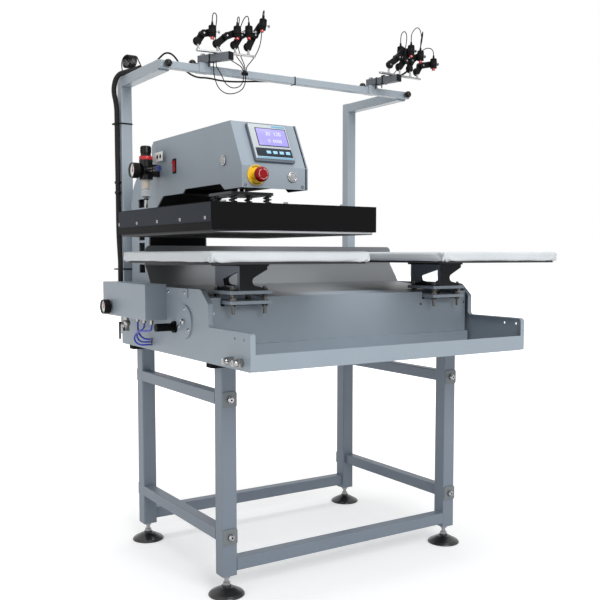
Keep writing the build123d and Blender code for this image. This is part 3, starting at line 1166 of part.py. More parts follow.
def right_cables():
    """The four cables of the right pointers, drawn together on top of the arm."""
    tx, ty, tz = TIE_RIGHT
    face = tx + TIE_T / 2
    ends = [[(face + 26, ty + (i - 1.5) * TIE_PITCH, tz), (face, ty + (i - 1.5) * TIE_PITCH, tz)] for i in range(4)]
    routes = [
        boot_exit("right", 0, 20) + [(425, 65.5, 1867), (437, 65, 1878), (450, 67.5, 1872), (456, 72, 1855),
                                     (456, 77, 1830), (454, 84, 1802), (446, 92, 1772), (432, 96, 1744),
                                     (408, 92, 1720)] + ends[3],
        boot_exit("right", 1, 22) + [(450, 34, 1868), (478, 46, 1892), (502, 56, 1896), (520, 64, 1880),
                                     (528, 72, 1848), (522, 80, 1812), (506, 86, 1774), (480, 88, 1744),
                                     (446, 86, 1722), (412, 84, 1710)] + ends[2],
        boot_exit("right", 2, 20) + [(492, 28, 1862), (506, 40, 1882), (519, 54, 1876), (524, 66, 1848),
                                     (518, 72, 1816), (506, 78, 1784), (482, 82, 1752), (448, 80, 1726),
                                     (412, 79, 1710)] + ends[1],
        boot_exit("right", 3, 15) + [(540, 34, 1823), (520, 44, 1821), (503, 56, 1800), (490, 66, 1772),
                                     (470, 72, 1742), (440, 72, 1718), (406, 75, 1709)] + ends[0],
    ]
    tubes = [cord_tube(route, LASER_CABLE_R, f"right cable {i + 1}") for i, route in enumerate(routes)]
    return tubes + [tie_block((tx, ty, LASER_ARM_Z + LASER_ARM / 2 + 4), (TIE_T, 18, 8))]


nodes["laser_cables_left"] = left_cables()
nodes["laser_cables_right"] = right_cables()

trunk_x = -MAST_OUT_X - TRUNK_R - 0.5
arm_top_z = ARM_BOTTOM_Z + ARM_H + TRUNK_R + 0.5
trunk_route = [(-MAST_MID_X, 345, arm_top_z), (-MAST_MID_X - 1, 392, arm_top_z + 1),
               (-508, 434, arm_top_z + 1), (-532, 470, arm_top_z - 6), (-537, 496, arm_top_z - 54),
               (trunk_x, 494, 1580), (trunk_x - 1, 490, 1530), (trunk_x, 493, 1475), (trunk_x - 1, 491, 1420),
               (trunk_x, 493, 1360), (trunk_x - 1, 490, 1300), (trunk_x, 492, 1240), (trunk_x - 1, 490, 1180),
               (trunk_x, 492, 1122), (-527, 482, 1068), (-532, 462, 1020), (-538, 448, 986),
               (-538, 448, BOX_TOP_Z)]
beam_back = beam_y1 + SADDLE_T + BEAM_CABLE_R + 1
beam_route = [(-MAST_MID_X + 6, 345, arm_top_z), (-485, 300, arm_top_z - 3), (-486, 252, arm_top_z - 3),
              (-483, 212, arm_top_z + 8), (-476, 184, arm_top_z + 21), (-462, 168, arm_top_z + 19),
              (-447, 162, arm_top_z + 5), (-434, 160, 1671), (-414, beam_back, 1651),
              (-376, beam_back + 1, 1634), (-330, beam_back, 1638), (-280, beam_back + 1, 1633),
              (-225, beam_back, 1636), (-168, beam_back + 1, 1644), (-110, beam_back, 1650),
              (-52, beam_back + 1, 1655), (8, beam_back, 1652), (68, beam_back + 1, 1655), (128, beam_back, 1651),
              (188, beam_back + 1, 1654), (248, beam_back, 1656), (290, beam_back + 1, 1661),
              (316, beam_back, 1664)]
coil_low = ARM_BOTTOM_Z + ARM_H
coil_y, coil_z = 430, arm_top_z + TRUNK_R + COIL_HALF_H + COIL_R + 2.5


def coil_route():
    """The spare length of a cable, laid in flat turns on the trunk, from a hole in the arm to one in the mast."""
    start = [(-481, 368, coil_low), (-481, 368, coil_low + 12), (-481.5, 373, coil_low + 25)]
    turns = []
    for step in range(8 * COIL_TURNS + 5):
        angle = math.pi - step * math.pi / 4
        turns.append((-484 - COIL_PITCH * step / 8, coil_y + COIL_HALF_L * math.cos(angle),
                      coil_z + COIL_HALF_H * math.sin(angle)))
    return start + turns + [(-508, 480, coil_low + 24), (-505, 486, coil_low + 12), (-505, 486, coil_low)]


nodes["cable_trunk"] = [cord_tube(trunk_route, TRUNK_R, "trunk"),
                        cord_tube(beam_route, BEAM_CABLE_R, "beam cable"),
                        cord_tube(coil_route(), COIL_R, "coil")]

os.makedirs("parts", exist_ok=True)
for node, solids in nodes.items():
    shape = solids[0] if len(solids) == 1 else Compound(children=list(solids))
    export_step(shape, f"parts/{node}.step")
print(len(nodes), "nodes")
for number, (point, axis) in laser_axes.items():
    print("laser", number, [round(v, 2) for v in point], [round(v, 4) for v in axis])
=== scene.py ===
# %% [markdown]
# # A twin-station pneumatic heat press
# The machine stands on four levelling feet. A press head slides sideways between two padded platens
# and pushes a heated platen down onto the cloth. An overhead frame carries small laser pointers that
# mark where the cloth goes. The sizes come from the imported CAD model, so this script never moves a CAD
# part. It adds finishes, soft covers, cables and the small pieces that show in a photograph.

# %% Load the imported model
import math

import bmesh
import bpy
from mathutils import Euler, Matrix, Vector, noise


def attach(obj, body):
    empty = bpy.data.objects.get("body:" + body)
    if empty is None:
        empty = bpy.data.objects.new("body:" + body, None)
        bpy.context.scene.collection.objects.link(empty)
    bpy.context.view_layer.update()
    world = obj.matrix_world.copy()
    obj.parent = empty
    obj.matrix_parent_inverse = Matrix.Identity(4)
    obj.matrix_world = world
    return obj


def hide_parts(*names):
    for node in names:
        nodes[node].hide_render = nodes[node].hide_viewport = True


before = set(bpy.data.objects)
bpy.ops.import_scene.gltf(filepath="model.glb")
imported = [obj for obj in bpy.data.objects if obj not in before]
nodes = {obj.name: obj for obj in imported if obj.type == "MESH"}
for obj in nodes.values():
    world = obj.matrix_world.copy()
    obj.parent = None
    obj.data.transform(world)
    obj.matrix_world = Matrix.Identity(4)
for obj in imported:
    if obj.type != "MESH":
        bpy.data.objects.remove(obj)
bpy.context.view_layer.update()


# %% [markdown]
# ## The camera
# The photograph was taken a little below the head's height, from the front left. A long lens keeps the
# posts upright. The small vertical shift frames the whole machine without tilting the camera any more.

# %% Camera
camera_data = bpy.data.cameras.new("camera")
camera_data.lens = 50.99
camera_data.sensor_width = 36.0
camera_data.shift_y = 0.0308
camera = bpy.data.objects.new("camera", camera_data)
camera.location = (-1.6425, -2.4445, 1.045)
camera.rotation_euler = Euler((math.radians(85.749), 0.0, math.radians(-32.807)), "XYZ")
bpy.context.scene.collection.objects.link(camera)
bpy.context.scene.camera = camera
bpy.context.scene.view_settings.view_transform = "Standard"
print("Camera at", tuple(camera.location))


# %% [markdown]
# ## Finishes
# Every finish is a Principled shader with a few procedural touches. Powder coat has a faint orange peel
# in its gloss, sheet metal has long brushed streaks, and moulded plastic has a fine grain. Patterns read
# Object coordinates, so they stay on their piece when the machine moves.

# %% Material helpers
def new_material(name, colour, rough, metal=0.0, coat=0.0):
    """A Principled material; returns the material, its node tree and the shader node."""
    material = bpy.data.materials.new(name)
    material.use_nodes = True
    tree = material.node_tree
    shader = tree.nodes["Principled BSDF"]
    shader.inputs["Base Color"].default_value = (*colour, 1.0)
    shader.inputs["Roughness"].default_value = rough
    shader.inputs["Metallic"].default_value = metal
    shader.inputs["Coat Weight"].default_value = coat
    if max(colour) < 0.05 and metal < 0.5:
        shader.inputs["Specular IOR Level"].default_value = 0.12 if rough > 0.35 else 0.4
    return material, tree, shader


def object_noise(tree, scale, detail=2.0, stretch=None):
    """A Noise texture on Object coordinates, stretched along an axis where asked."""
    coords = tree.nodes.new("ShaderNodeTexCoord")
    texture = tree.nodes.new("ShaderNodeTexNoise")
    texture.inputs["Scale"].default_value = scale
    texture.inputs["Detail"].default_value = detail
    source = coords.outputs["Object"]
    if stretch:
        mapping = tree.nodes.new("ShaderNodeMapping")
        mapping.inputs["Scale"].default_value = stretch
        tree.links.new(source, mapping.inputs["Vector"])
        source = mapping.outputs["Vector"]
    tree.links.new(source, texture.inputs["Vector"])
    return texture


def add_bump(tree, shader, texture, strength, distance=0.0005, output="Fac"):
    """Feeds a texture's height into the shader's normal."""
    bump = tree.nodes.new("ShaderNodeBump")
    bump.inputs["Strength"].default_value = strength
    bump.inputs["Distance"].default_value = distance
    tree.links.new(texture.outputs[output], bump.inputs["Height"])
    tree.links.new(bump.outputs["Normal"], shader.inputs["Normal"])


def vary_roughness(tree, shader, texture, low, high):
    """Lets a texture move the roughness between two values."""
    spread = tree.nodes.new("ShaderNodeMapRange")
    spread.inputs["To Min"].default_value = low
    spread.inputs["To Max"].default_value = high
    tree.links.new(texture.outputs["Fac"], spread.inputs["Value"])
    tree.links.new(spread.outputs["Result"], shader.inputs["Roughness"])


def vary_colour(tree, shader, texture, darker, lighter):
    """Mixes two close tints by a texture, so a large surface isn't one dead colour."""
    mix = tree.nodes.new("ShaderNodeMix")
    mix.data_type = "RGBA"
    mix.inputs[6].default_value = (*darker, 1.0)
    mix.inputs[7].default_value = (*lighter, 1.0)
    tree.links.new(texture.outputs["Fac"], mix.inputs[0])
    tree.links.new(mix.outputs[2], shader.inputs["Base Color"])


def tint(colour, factor):
    """A colour made lighter or darker by a factor."""
    return tuple(min(1.0, value * factor) for value in colour)


def set_shader(material, values):
    """Sets sockets of a material's shader by their names."""
    shader = material.node_tree.nodes["Principled BSDF"]
    for socket, value in values.items():
        shader.inputs[socket].default_value = value


def powder_coat(name, colour, rough=0.42):
    """Baked powder paint: a soft gloss, a fine orange peel and a faint mottle."""
    material, tree, shader = new_material(name, colour, rough)
    mottle = object_noise(tree, 7.0, 3.0)
    vary_colour(tree, shader, mottle, tint(colour, 0.93), tint(colour, 1.06))
    peel = object_noise(tree, 420.0, 3.0)
    add_bump(tree, shader, peel, 0.06)
    vary_roughness(tree, shader, mottle, rough - 0.05, rough + 0.06)
    return material


def brushed_metal(name, colour, rough, stretch, metal=1.0):
    """Metal with fine streaks along one direction."""
    material, tree, shader = new_material(name, colour, rough, metal=metal)
    streaks = object_noise(tree, 60.0, 6.0, stretch)
    vary_roughness(tree, shader, streaks, rough - 0.08, rough + 0.12)
    vary_colour(tree, shader, streaks, tint(colour, 0.86), tint(colour, 1.10))
    add_bump(tree, shader, streaks, 0.05, 0.0002)
    return material


def moulded(name, colour, rough, coat=0.0):
    """Moulded plastic or rubber with the faint grain of its mould."""
    material, tree, shader = new_material(name, colour, rough, coat=coat)
    grain = object_noise(tree, 900.0, 2.0)
    vary_roughness(tree, shader, grain, rough - 0.05, rough + 0.08)
    add_bump(tree, shader, grain, 0.04, 0.0002)
    return material


def plated(name, colour, rough):
    """Smooth plated metal whose shine is a little uneven."""
    material, tree, shader = new_material(name, colour, rough, metal=1.0)
    cloud = object_noise(tree, 160.0, 3.0)
    vary_roughness(tree, shader, cloud, rough - 0.06, rough + 0.10)
    return material


# %% [markdown]
# The paints follow the photograph: a light blue-grey on the chassis and head, a darker blue-grey on the
# stand, which is painted shade because the stand has the body's paint, and a silvery grey on the overhead
# tubes. The guard behind the platens is bare brushed sheet, its colour darkened as painted shade and as a
# painted reflection of the black platen above it. The darkest finishes mirror less than usual, because they
# would look grey under the wide lamps.

# %% Finishes of this machine
PAINT = {
    "body": powder_coat("body paint", (0.268, 0.317, 0.366)),
    # the stand has the body's paint; this darker copy of it is painted shade
    "stand": powder_coat("stand paint darkened as painted shade", (0.165, 0.200, 0.245)),
    "frame": powder_coat("frame paint", (0.325, 0.375, 0.420), 0.34),
    "arm": powder_coat("pointer arm paint", (0.105, 0.118, 0.135), 0.42),
    "web": powder_coat("bracket web paint", (0.125, 0.150, 0.190), 0.45),
    "black": powder_coat("black paint", (0.004, 0.004, 0.0045), 0.50),
    "matt_black": powder_coat("matt black and painted inner shade", (0.006, 0.006, 0.007), 0.85),
    # the casing's sides are its black paint made lighter and bluer, as painted light
    "painted_light_side": powder_coat("casing side with painted light", (0.020, 0.024, 0.033), 0.60),
    "bracket": powder_coat("bracket black", (0.018, 0.020, 0.022), 0.45),
    "plate": powder_coat("bolt plate paint", (0.155, 0.175, 0.185), 0.45),
}
METAL = {
    # the guard's steel is darkened as painted shade and as a painted reflection of the black platen
    "guard": brushed_metal("brushed guard darkened as painted shade", (0.20, 0.21, 0.22), 0.42, (1.0, 30.0, 30.0), 0.85),
    "steel": brushed_metal("turned steel", (0.33, 0.33, 0.34), 0.28, (1.0, 1.0, 1.0)),
    "dark_plate": brushed_metal("dark plate", (0.085, 0.088, 0.095), 0.40, (1.0, 8.0, 1.0), 0.8),
    "nickel": plated("nickel plate", (0.34, 0.33, 0.31), 0.20),
    "chrome": plated("chrome plate", (0.40, 0.40, 0.41), 0.10),
    "bolt": plated("dull steel bolt", (0.105, 0.102, 0.096), 0.26),
    "aluminium": brushed_metal("milled aluminium", (0.44, 0.45, 0.47), 0.38, (1.0, 8.0, 1.0)),
    "heater_face": brushed_metal("heater face", (0.040, 0.040, 0.042), 0.50, (1.0, 8.0, 1.0), 0.6),
    "dark_steel": plated("oiled spring steel", (0.10, 0.10, 0.105), 0.36),
    "zinc": plated("zinc screw", (0.30, 0.30, 0.31), 0.28),
}
PLASTIC = {
    "black": moulded("black plastic", (0.010, 0.010, 0.011), 0.42),
    "black_gloss": moulded("black gloss plastic", (0.006, 0.006, 0.0065), 0.16),
    "rubber": moulded("foot rubber", (0.010, 0.010, 0.010), 0.30, coat=0.3),
    "cable": moulded("cable jacket", (0.012, 0.012, 0.012), 0.48),
    "red": moulded("red plastic", (0.42, 0.006, 0.010), 0.34),
    "dark_red": moulded("stop button red", (0.240, 0.001, 0.003), 0.50),
    "pale_red": moulded("stop button arcs", (0.80, 0.74, 0.72), 0.50),
    "yellow": moulded("yellow plastic", (0.84, 0.53, 0.015), 0.46),
    "blue": moulded("blue air tube", (0.012, 0.036, 0.42), 0.38),
    "post": moulded("pale post", (0.36, 0.37, 0.38), 0.40),
    "white": moulded("white plastic", (0.78, 0.78, 0.77), 0.38),
    "tan": moulded("sintered filter", (0.74, 0.55, 0.37), 0.75),
    "bezel": moulded("controller bezel", (0.085, 0.105, 0.135), 0.40),
    "key": moulded("controller key", (0.30, 0.55, 0.72), 0.42),
}
for finish, level in ((PAINT["black"], 0.05), (PLASTIC["dark_red"], 0.2), (PLASTIC["black"], 0.05),
                      (PLASTIC["cable"], 0.05), (PLASTIC["black_gloss"], 0.25)):
    set_shader(finish, {"Specular IOR Level": level})
print("Finishes:", len(PAINT) + len(METAL) + len(PLASTIC))

# %% [markdown]
# Each CAD node gets its finish by swapping the material in its slot. The mesh itself is left alone.

# %% Paint the CAD nodes
NODE_FINISH = {
    # the stand's paint is the body paint darkened as painted shade
    PAINT["stand"]: ("front_leg_frame", "rear_leg_frame", "side_rails"),
    PAINT["body"]: ("side_plate_left", "side_plate_right", "front_tray", "front_panel", "rear_wall",
                    "valve_box", "column", "control_panel"),
    PAINT["frame"]: ("mast_left", "mast_right", "laser_beam"),
    PAINT["arm"]: ("laser_arm_left", "laser_arm_right"),
    PAINT["black"]: ("platen_casing", "column_covers", "shock_absorbers"),
    PAINT["bracket"]: ("platen_mounts", "platen_brackets"),
    METAL["guard"]: ("deck_guard",),
    METAL["steel"]: ("guide_rails", "carriage"),
    METAL["dark_plate"]: ("press_plate",),
    METAL["aluminium"]: ("traverse_cylinder", "press_cylinder"),
    METAL["heater_face"]: ("heater_plate",),
    METAL["dark_steel"]: ("float_springs",),
    METAL["nickel"]: ("air_fittings", "front_button", "side_button", "switch_bodies"),
    PLASTIC["rubber"]: ("levelling_feet",),
    PAINT["matt_black"]: ("chassis_pads",),
    PLASTIC["black_gloss"]: ("regulator_knob", "filter_regulator"),
    PLASTIC["black"]: ("shutoff_lever", "supply_gauge", "line_gauge",
                       *(f"laser_{number}" for number in range(1, 9))),
    PLASTIC["red"]: ("estop_button", "rocker", "supply_needle", "line_needle"),
    PLASTIC["bezel"]: ("controller",),
    PLASTIC["blue"]: ("air_tubes",),
    PLASTIC["cable"]: ("cable_trunk", "laser_cables_left", "laser_cables_right"),
    PLASTIC["white"]: ("left_platen", "right_platen", "filter_bowl"),
}
for finish, names in NODE_FINISH.items():
    for name in names:
        for material_slot in nodes[name].material_slots:
            material_slot.material = finish
painted = sum(len(names) for names in NODE_FINISH.values())
print("CAD nodes painted:", painted, "of", len(nodes))


# %% [markdown]
# Many nodes hold parts in more than one finish, such as a painted arm with black links and a zinc bolt.
# A second material is added to such a mesh and given to the faces in one part of space. The test reads a
# face's centre in millimetres and its normal. Where two tests hold for a face, the later one counts.

# %% A second finish on some faces
def paint_where(node, finish, test):
    """Gives a finish to the faces of a CAD node whose centre and normal pass a test."""
    mesh = nodes[node].data
    names = [material.name for material in mesh.materials]
    if finish.name not in names:
        mesh.materials.append(finish)
        names.append(finish.name)
    index, count = names.index(finish.name), 0
    for face in mesh.polygons:
        x, y, z = (value * 1000 for value in face.center)
        if test(x, y, z, face.normal):
            face.material_index = index
            count += 1
    print(f"{node}: {finish.name} on {count} faces")


# %% Second finishes of the overhead frame and the heated platen
HEAD_X = -398  # the middle of the head, at rest over the left platen
BEAM_Y = 138.5  # the middle line of the overhead beam
for arm in ("laser_arm_left", "laser_arm_right"):
    # the bar, its posts, the links above them, and the arm's pivot in its saddle
    paint_where(arm, METAL["zinc"], lambda x, y, z, n: 1702 <= z <= 1708)
    paint_where(arm, PLASTIC["post"], lambda x, y, z, n: 1708 < z < 1726)
    paint_where(arm, PLASTIC["black"], lambda x, y, z, n: z >= 1722)
    paint_where(arm, METAL["zinc"], lambda x, y, z, n: 131 < y < 147 and (z < 1677.5 or z > 1702.2))
# the ball knobs at the beam's ends and beside the saddles that carry the arms
paint_where("laser_beam", PLASTIC["black_gloss"], lambda x, y, z, n: abs(x) > 470 and y < 125.9)
paint_where("laser_beam", PLASTIC["black_gloss"], lambda x, y, z, n: z > 1662 and
            (-412 < x < -384 or 286 < x < 314) and (z > 1671.2 or abs(y - BEAM_Y) > 12.6))
# the bright front edge of the heated platen, and the sides of its casing, painted lighter and bluer than
# its black front as painted light
paint_where("heater_plate", METAL["aluminium"], lambda x, y, z, n: 1105 < z < 1112 and n.y < -0.9)
paint_where("platen_casing", PAINT["painted_light_side"], lambda x, y, z, n: abs(x - HEAD_X) > 262.5)

# %% Second finishes under the platens and on the head
MOUNT_BOLTS = [(x, y) for x in (-452, -344, 332, 440) for y in (-234, -130)]


def near_bolt(x, y):
    """True close to one of the eight levelling bolts."""
    return min(math.hypot(x - bolt_x, y - bolt_y) for bolt_x, bolt_y in MOUNT_BOLTS) < 12


# painted mounting plates with bare bolts through them, and the webs of the brackets above
paint_where("platen_mounts", PAINT["body"], lambda x, y, z, n: z < 910.5 or 929.5 < z < 940.5)
paint_where("platen_mounts", METAL["bolt"], lambda x, y, z, n: near_bolt(x, y) and abs(z - 905) > 5.5 and
            abs(z - 935) > 5.5)
paint_where("platen_brackets", PAINT["web"], lambda x, y, z, n: 945.5 < z < 1014 and abs(n.y) < 0.5)
# the guard's painted foot, the head's black covers, its inside and underside painted matt black as painted
# shade over parts that are partly black, and the edges of its sloped panel
paint_where("deck_guard", PAINT["body"], lambda x, y, z, n: z < 926 and n.z > 0.5)
paint_where("column_covers", PAINT["matt_black"], lambda x, y, z, n: z <= 1400 and y <= 414)
paint_where("column_covers", PAINT["body"], lambda x, y, z, n: z > 1400 or y > 414)
# the column's inner faces and the control panel's underside and back are painted black: partly the head's
# black interior, partly painted shade
paint_where("column", PAINT["matt_black"], lambda x, y, z, n: abs(x - HEAD_X) < 104.5 and abs(n.x) > 0.9)
paint_where("control_panel", PAINT["matt_black"], lambda x, y, z, n: n.z < -0.6 or n.y > 0.6)
paint_where("control_panel", PAINT["black"], lambda x, y, z, n: abs(n.x) > 0.9)
# the yellow disc of the stop button, and the rocker's frame
paint_where("switch_bodies", PLASTIC["yellow"], lambda x, y, z, n: x < -430 and y < -380)
paint_where("switch_bodies", PLASTIC["black"], lambda x, y, z, n: y > 30)

# %% Second finishes of the stand, the press plate and the air unit
paint_where("levelling_feet", METAL["zinc"], lambda x, y, z, n: z > 31)
for leg_frame in ("front_leg_frame", "rear_leg_frame"):
    paint_where(leg_frame, PAINT["plate"], lambda x, y, z, n: z < 64)
paint_where("side_rails", PAINT["plate"], lambda x, y, z, n: y < -196 or y > 471)
paint_where("side_rails", METAL["zinc"], lambda x, y, z, n: y < -200.2 or y > 475.2)
paint_where("press_plate", METAL["zinc"], lambda x, y, z, n: z > 1182 and (y < -400 or y > 50))
paint_where("press_plate", METAL["chrome"], lambda x, y, z, n: z > 1230.5)
paint_where("filter_regulator", METAL["nickel"], lambda x, y, z, n: y < 141 and z < 1330)
paint_where("filter_regulator", PLASTIC["red"], lambda x, y, z, n: z > 1354.5)


# %% [markdown]
# ## Cables and air tubes
# A cable keeps its length and hangs in soft curves, so each is one smooth spline through a few points,
# with a round bevel. The pointer cables leave their barrels straight up, arch over and fall to a tie. The
# rest run along the arms and down the back of the left mast to the valve box.

# %% A braided sleeve for the trunk
SLEEVE, sleeve_tree, sleeve_shader = new_material("braided sleeve", (0.014, 0.014, 0.015), 0.55)
sleeve_coords = sleeve_tree.nodes.new("ShaderNodeTexCoord")
sleeve_bands = sleeve_tree.nodes.new("ShaderNodeTexWave")
sleeve_bands.bands_direction = "Z"
sleeve_bands.inputs["Scale"].default_value = 70.0
sleeve_bands.inputs["Distortion"].default_value = 2.0
sleeve_tree.links.new(sleeve_coords.outputs["Object"], sleeve_bands.inputs["Vector"])
vary_colour(sleeve_tree, sleeve_shader, sleeve_bands, (0.006, 0.006, 0.006), (0.030, 0.030, 0.032))
add_bump(sleeve_tree, sleeve_shader, sleeve_bands, 0.5, 0.0006)

# %% Cable helper
def spline_length(points):
    """The length of a quadratic spline through control points, measured on short steps."""
    curve = bpy.data.curves.new("measure", "CURVE")
    curve.dimensions = "3D"
    fill_spline(curve, points)
    holder = bpy.data.objects.new("measure", curve)
    mesh = bpy.data.meshes.new_from_object(holder)
    ends = [[mesh.vertices[index].co for index in edge.vertices] for edge in mesh.edges]
    total = sum((start - end).length for start, end in ends)
    bpy.data.objects.remove(holder)
    bpy.data.curves.remove(curve)
    bpy.data.meshes.remove(mesh)
    return total


def fill_spline(curve, points):
    """Adds one open spline of order 3 that starts and ends on its outer points."""
    spline = curve.splines.new("NURBS")
    spline.points.add(len(points) - 1)
    for item, point in zip(spline.points, points):
        item.co = (point[0] / 1000, point[1] / 1000, point[2] / 1000, 1.0)
    spline.order_u = 3
    spline.use_endpoint_u = True
    spline.resolution_u = 12


def cable(name, points, diameter, body, node,
          material=None):
    """A free cable along points in millimetres; its length is measured and printed."""
    curve = bpy.data.curves.new(name, "CURVE")
    curve.dimensions = "3D"
    curve.bevel_depth = diameter / 2
    curve.bevel_resolution = 3
    curve.use_fill_caps = True
    fill_spline(curve, points)
    curve.materials.append(material or PLASTIC["cable"])
    piece = bpy.data.objects.new(name, curve)
    bpy.context.scene.collection.objects.link(piece)
    length = spline_length(points)
    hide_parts(node)
    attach(piece, body)
    print(f"{name}: {length * 1000:.0f} mm")
    return piece


# %% Pointer cables on the left
LEFT_ROUTES = [
    [(-366.6, 54.9, 1793.5), (-366.6, 54.9, 1813.5), (-354, 63, 1827), (-340, 72, 1820), (-335, 90, 1794),
     (-332, 104, 1762), (-320, 108, 1730), (-296, 100, 1700), (-266, 84, 1680), (-245.7, 70, 1664),
     (-245.7, 70, 1648)],
    [(-280.0, 46.1, 1801.5), (-280.0, 46.1, 1817.5), (-264, 60, 1825), (-255, 80, 1808), (-255, 97, 1776),
     (-260, 104, 1742), (-258, 98, 1708), (-248, 80, 1684), (-241.9, 70, 1664), (-241.9, 70, 1648)],
    [(-239.2, 42.0, 1806.5), (-239.2, 42.0, 1824.5), (-241, 60, 1831), (-245, 80, 1812), (-248, 94, 1778),
     (-252, 96, 1742), (-246, 88, 1706), (-240, 76, 1682), (-238.1, 70, 1664), (-238.1, 70, 1648)],
    [(-185.3, 36.5, 1835.2), (-183.2, 36.3, 1850.1), (-177, 52, 1857), (-170, 72, 1842), (-167, 82, 1804),
     (-168, 84, 1768), (-180, 82, 1732), (-204, 78, 1698), (-226, 73, 1676), (-234.3, 70, 1664),
     (-234.3, 70, 1648)],
    [(-243.8, 70, 1642), (-243.8, 70, 1625), (-256, 72, 1602), (-284, 76, 1594), (-308, 80, 1608),
     (-318, 84, 1634), (-330, 87, 1654), (-337, 88, 1663.5), (-337, 88, 1677.5)],
    [(-236.2, 70, 1642), (-236.2, 70, 1625), (-242, 74, 1598), (-268, 80, 1580), (-302, 86, 1576),
     (-326, 92, 1592), (-337, 96, 1620), (-342, 97, 1650), (-342, 97, 1677.5)],
]
for number, route in enumerate(LEFT_ROUTES, start=1):
    cable(f"left_pointer_cable_{number}", route, 0.0032, "pointer_arm_left", "laser_cables_left")

# %% Pointer cables on the right
RIGHT_ROUTES = [
    [(422.0, 66.8, 1831.5), (422.0, 66.8, 1851.5), (425, 65.5, 1867), (437, 65, 1878), (450, 67.5, 1872),
     (456, 72, 1855), (456, 77, 1830), (454, 84, 1802), (446, 92, 1772), (432, 96, 1744), (408, 92, 1720),
     (381, 87.7, 1706.5), (355, 87.7, 1706.5)],
    [(431.3, 17.5, 1827.5), (431.3, 17.5, 1849.5), (450, 34, 1868), (478, 46, 1892), (502, 56, 1896),
     (520, 64, 1880), (528, 72, 1848), (522, 80, 1812), (506, 86, 1774), (480, 88, 1744), (446, 86, 1722),
     (412, 84, 1710), (381, 83.9, 1706.5), (355, 83.9, 1706.5)],
    [(480.1, 21.7, 1814.5), (480.1, 21.7, 1834.5), (492, 28, 1862), (506, 40, 1882), (519, 54, 1876),
     (524, 66, 1848), (518, 72, 1816), (506, 78, 1784), (482, 82, 1752), (448, 80, 1726), (412, 79, 1710),
     (381, 80.1, 1706.5), (355, 80.1, 1706.5)],
    [(549.9, 27.8, 1795.5), (549.9, 27.8, 1810.5), (540, 34, 1823), (520, 44, 1821), (503, 56, 1800),
     (490, 66, 1772), (470, 72, 1742), (440, 72, 1718), (406, 75, 1709), (381, 76.3, 1706.5),
     (355, 76.3, 1706.5)],
]
for number, route in enumerate(RIGHT_ROUTES, start=1):
    cable(f"right_pointer_cable_{number}", route, 0.0032, "pointer_arm_right", "laser_cables_right")

# %% The trunk down the mast and the lead along the beam
TRUNK_ROUTE = [(-496, 345, 1685.5), (-497, 392, 1686.5), (-508, 434, 1686.5), (-532, 470, 1679.5),
               (-537, 496, 1631.5), (-525.5, 494, 1580), (-526.5, 490, 1530), (-525.5, 493, 1475),
               (-526.5, 491, 1420), (-525.5, 493, 1360), (-526.5, 490, 1300), (-525.5, 492, 1240),
               (-526.5, 490, 1180), (-525.5, 492, 1122), (-527, 482, 1068), (-532, 462, 1020),
               (-538, 448, 986), (-538, 448, 953)]
cable("mast_trunk", TRUNK_ROUTE, 0.018, "stand", "cable_trunk", material=SLEEVE)
BEAM_ROUTE = [(-490, 345, 1685.5), (-485, 300, 1682.5), (-486, 252, 1682.5), (-483, 212, 1693.5),
              (-476, 184, 1706.5), (-462, 168, 1704.5), (-447, 162, 1690.5), (-434, 160, 1671),
              (-414, 159, 1651), (-376, 160, 1634), (-330, 159, 1638), (-280, 160, 1633), (-225, 159, 1636),
              (-168, 160, 1644), (-110, 159, 1650), (-52, 160, 1655), (8, 159, 1652), (68, 160, 1655),
              (128, 159, 1651), (188, 160, 1654), (248, 159, 1656), (290, 160, 1661), (316, 159, 1664)]
cable("beam_lead", BEAM_ROUTE, 0.006, "stand", "cable_trunk")

# %% [markdown]
# Spare pointer cable lies in a loose coil on the trunk, where the trunk turns down the mast. The coil is a
# computed path: eight points make one turn, and each turn moves on by a little more than the cable's
# thickness.

# %% The spare coil on the mast
coil_route = [(-481, 368, 1676), (-481, 368, 1688), (-481.5, 373, 1701)]
coil_pitch, half_width, half_height = 4.6, 40, 22
for step in range(53):
    angle = math.pi - step * math.pi / 4
    coil_route.append((-484 - coil_pitch * step / 8, 430 + half_width * math.cos(angle),
                       1721 + half_height * math.sin(angle)))
coil_route += [(-508, 480, 1700), (-505, 486, 1688), (-505, 486, 1676)]
cable("spare_coil", coil_route, 0.004, "stand", "cable_trunk")

# %% Blue air tubes under the valve box
TUBE_ROUTES = [
    [(-560, 240, 824), (-560, 240, 807), (-560, 236, 790), (-558, 223, 777), (-552, 208, 768),
     (-542, 197, 766), (-532, 197, 766)],
    [(-567, 165, 824), (-567, 165, 814), (-567, 177, 802), (-567, 205, 796), (-566, 228, 788),
     (-564, 240, 774), (-560, 232, 760), (-553, 215, 756), (-543, 200, 757), (-532, 200, 757)],
    [(-574, 88, 824), (-574, 88, 813), (-574, 100, 803), (-574, 122, 801), (-575, 150, 798),
     (-574, 180, 796), (-574, 208, 789), (-573, 234, 779), (-571, 246, 763), (-566, 236, 750),
     (-557, 216, 746), (-545, 200, 748), (-532, 200, 748)],
]
for number, route in enumerate(TUBE_ROUTES, start=1):
    cable(f"blue_tube_{number}", route, 0.006, "stand", "air_tubes",
          material=PLASTIC["blue"])


# %% [markdown]
# ## Shape helpers
# Small parts are made with bmesh straight in their place, so each object stays at the origin. A lathe
# turns a profile about an axis, which suits knobs, rings and lenses.

# %% Piece helpers
def add_piece(name, mesh, body, smooth=None):
    """Puts a finished mesh into the scene, at the origin, and lets it ride on a body."""
    piece = bpy.data.objects.new(name, mesh)
    bpy.context.scene.collection.objects.link(piece)
    if smooth is not None:
        mesh.shade_smooth()
        mesh.set_sharp_from_angle(angle=math.radians(smooth))
    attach(piece, body)
    print(f"{name}: {len(mesh.polygons)} faces, rides on {body}")
    return piece


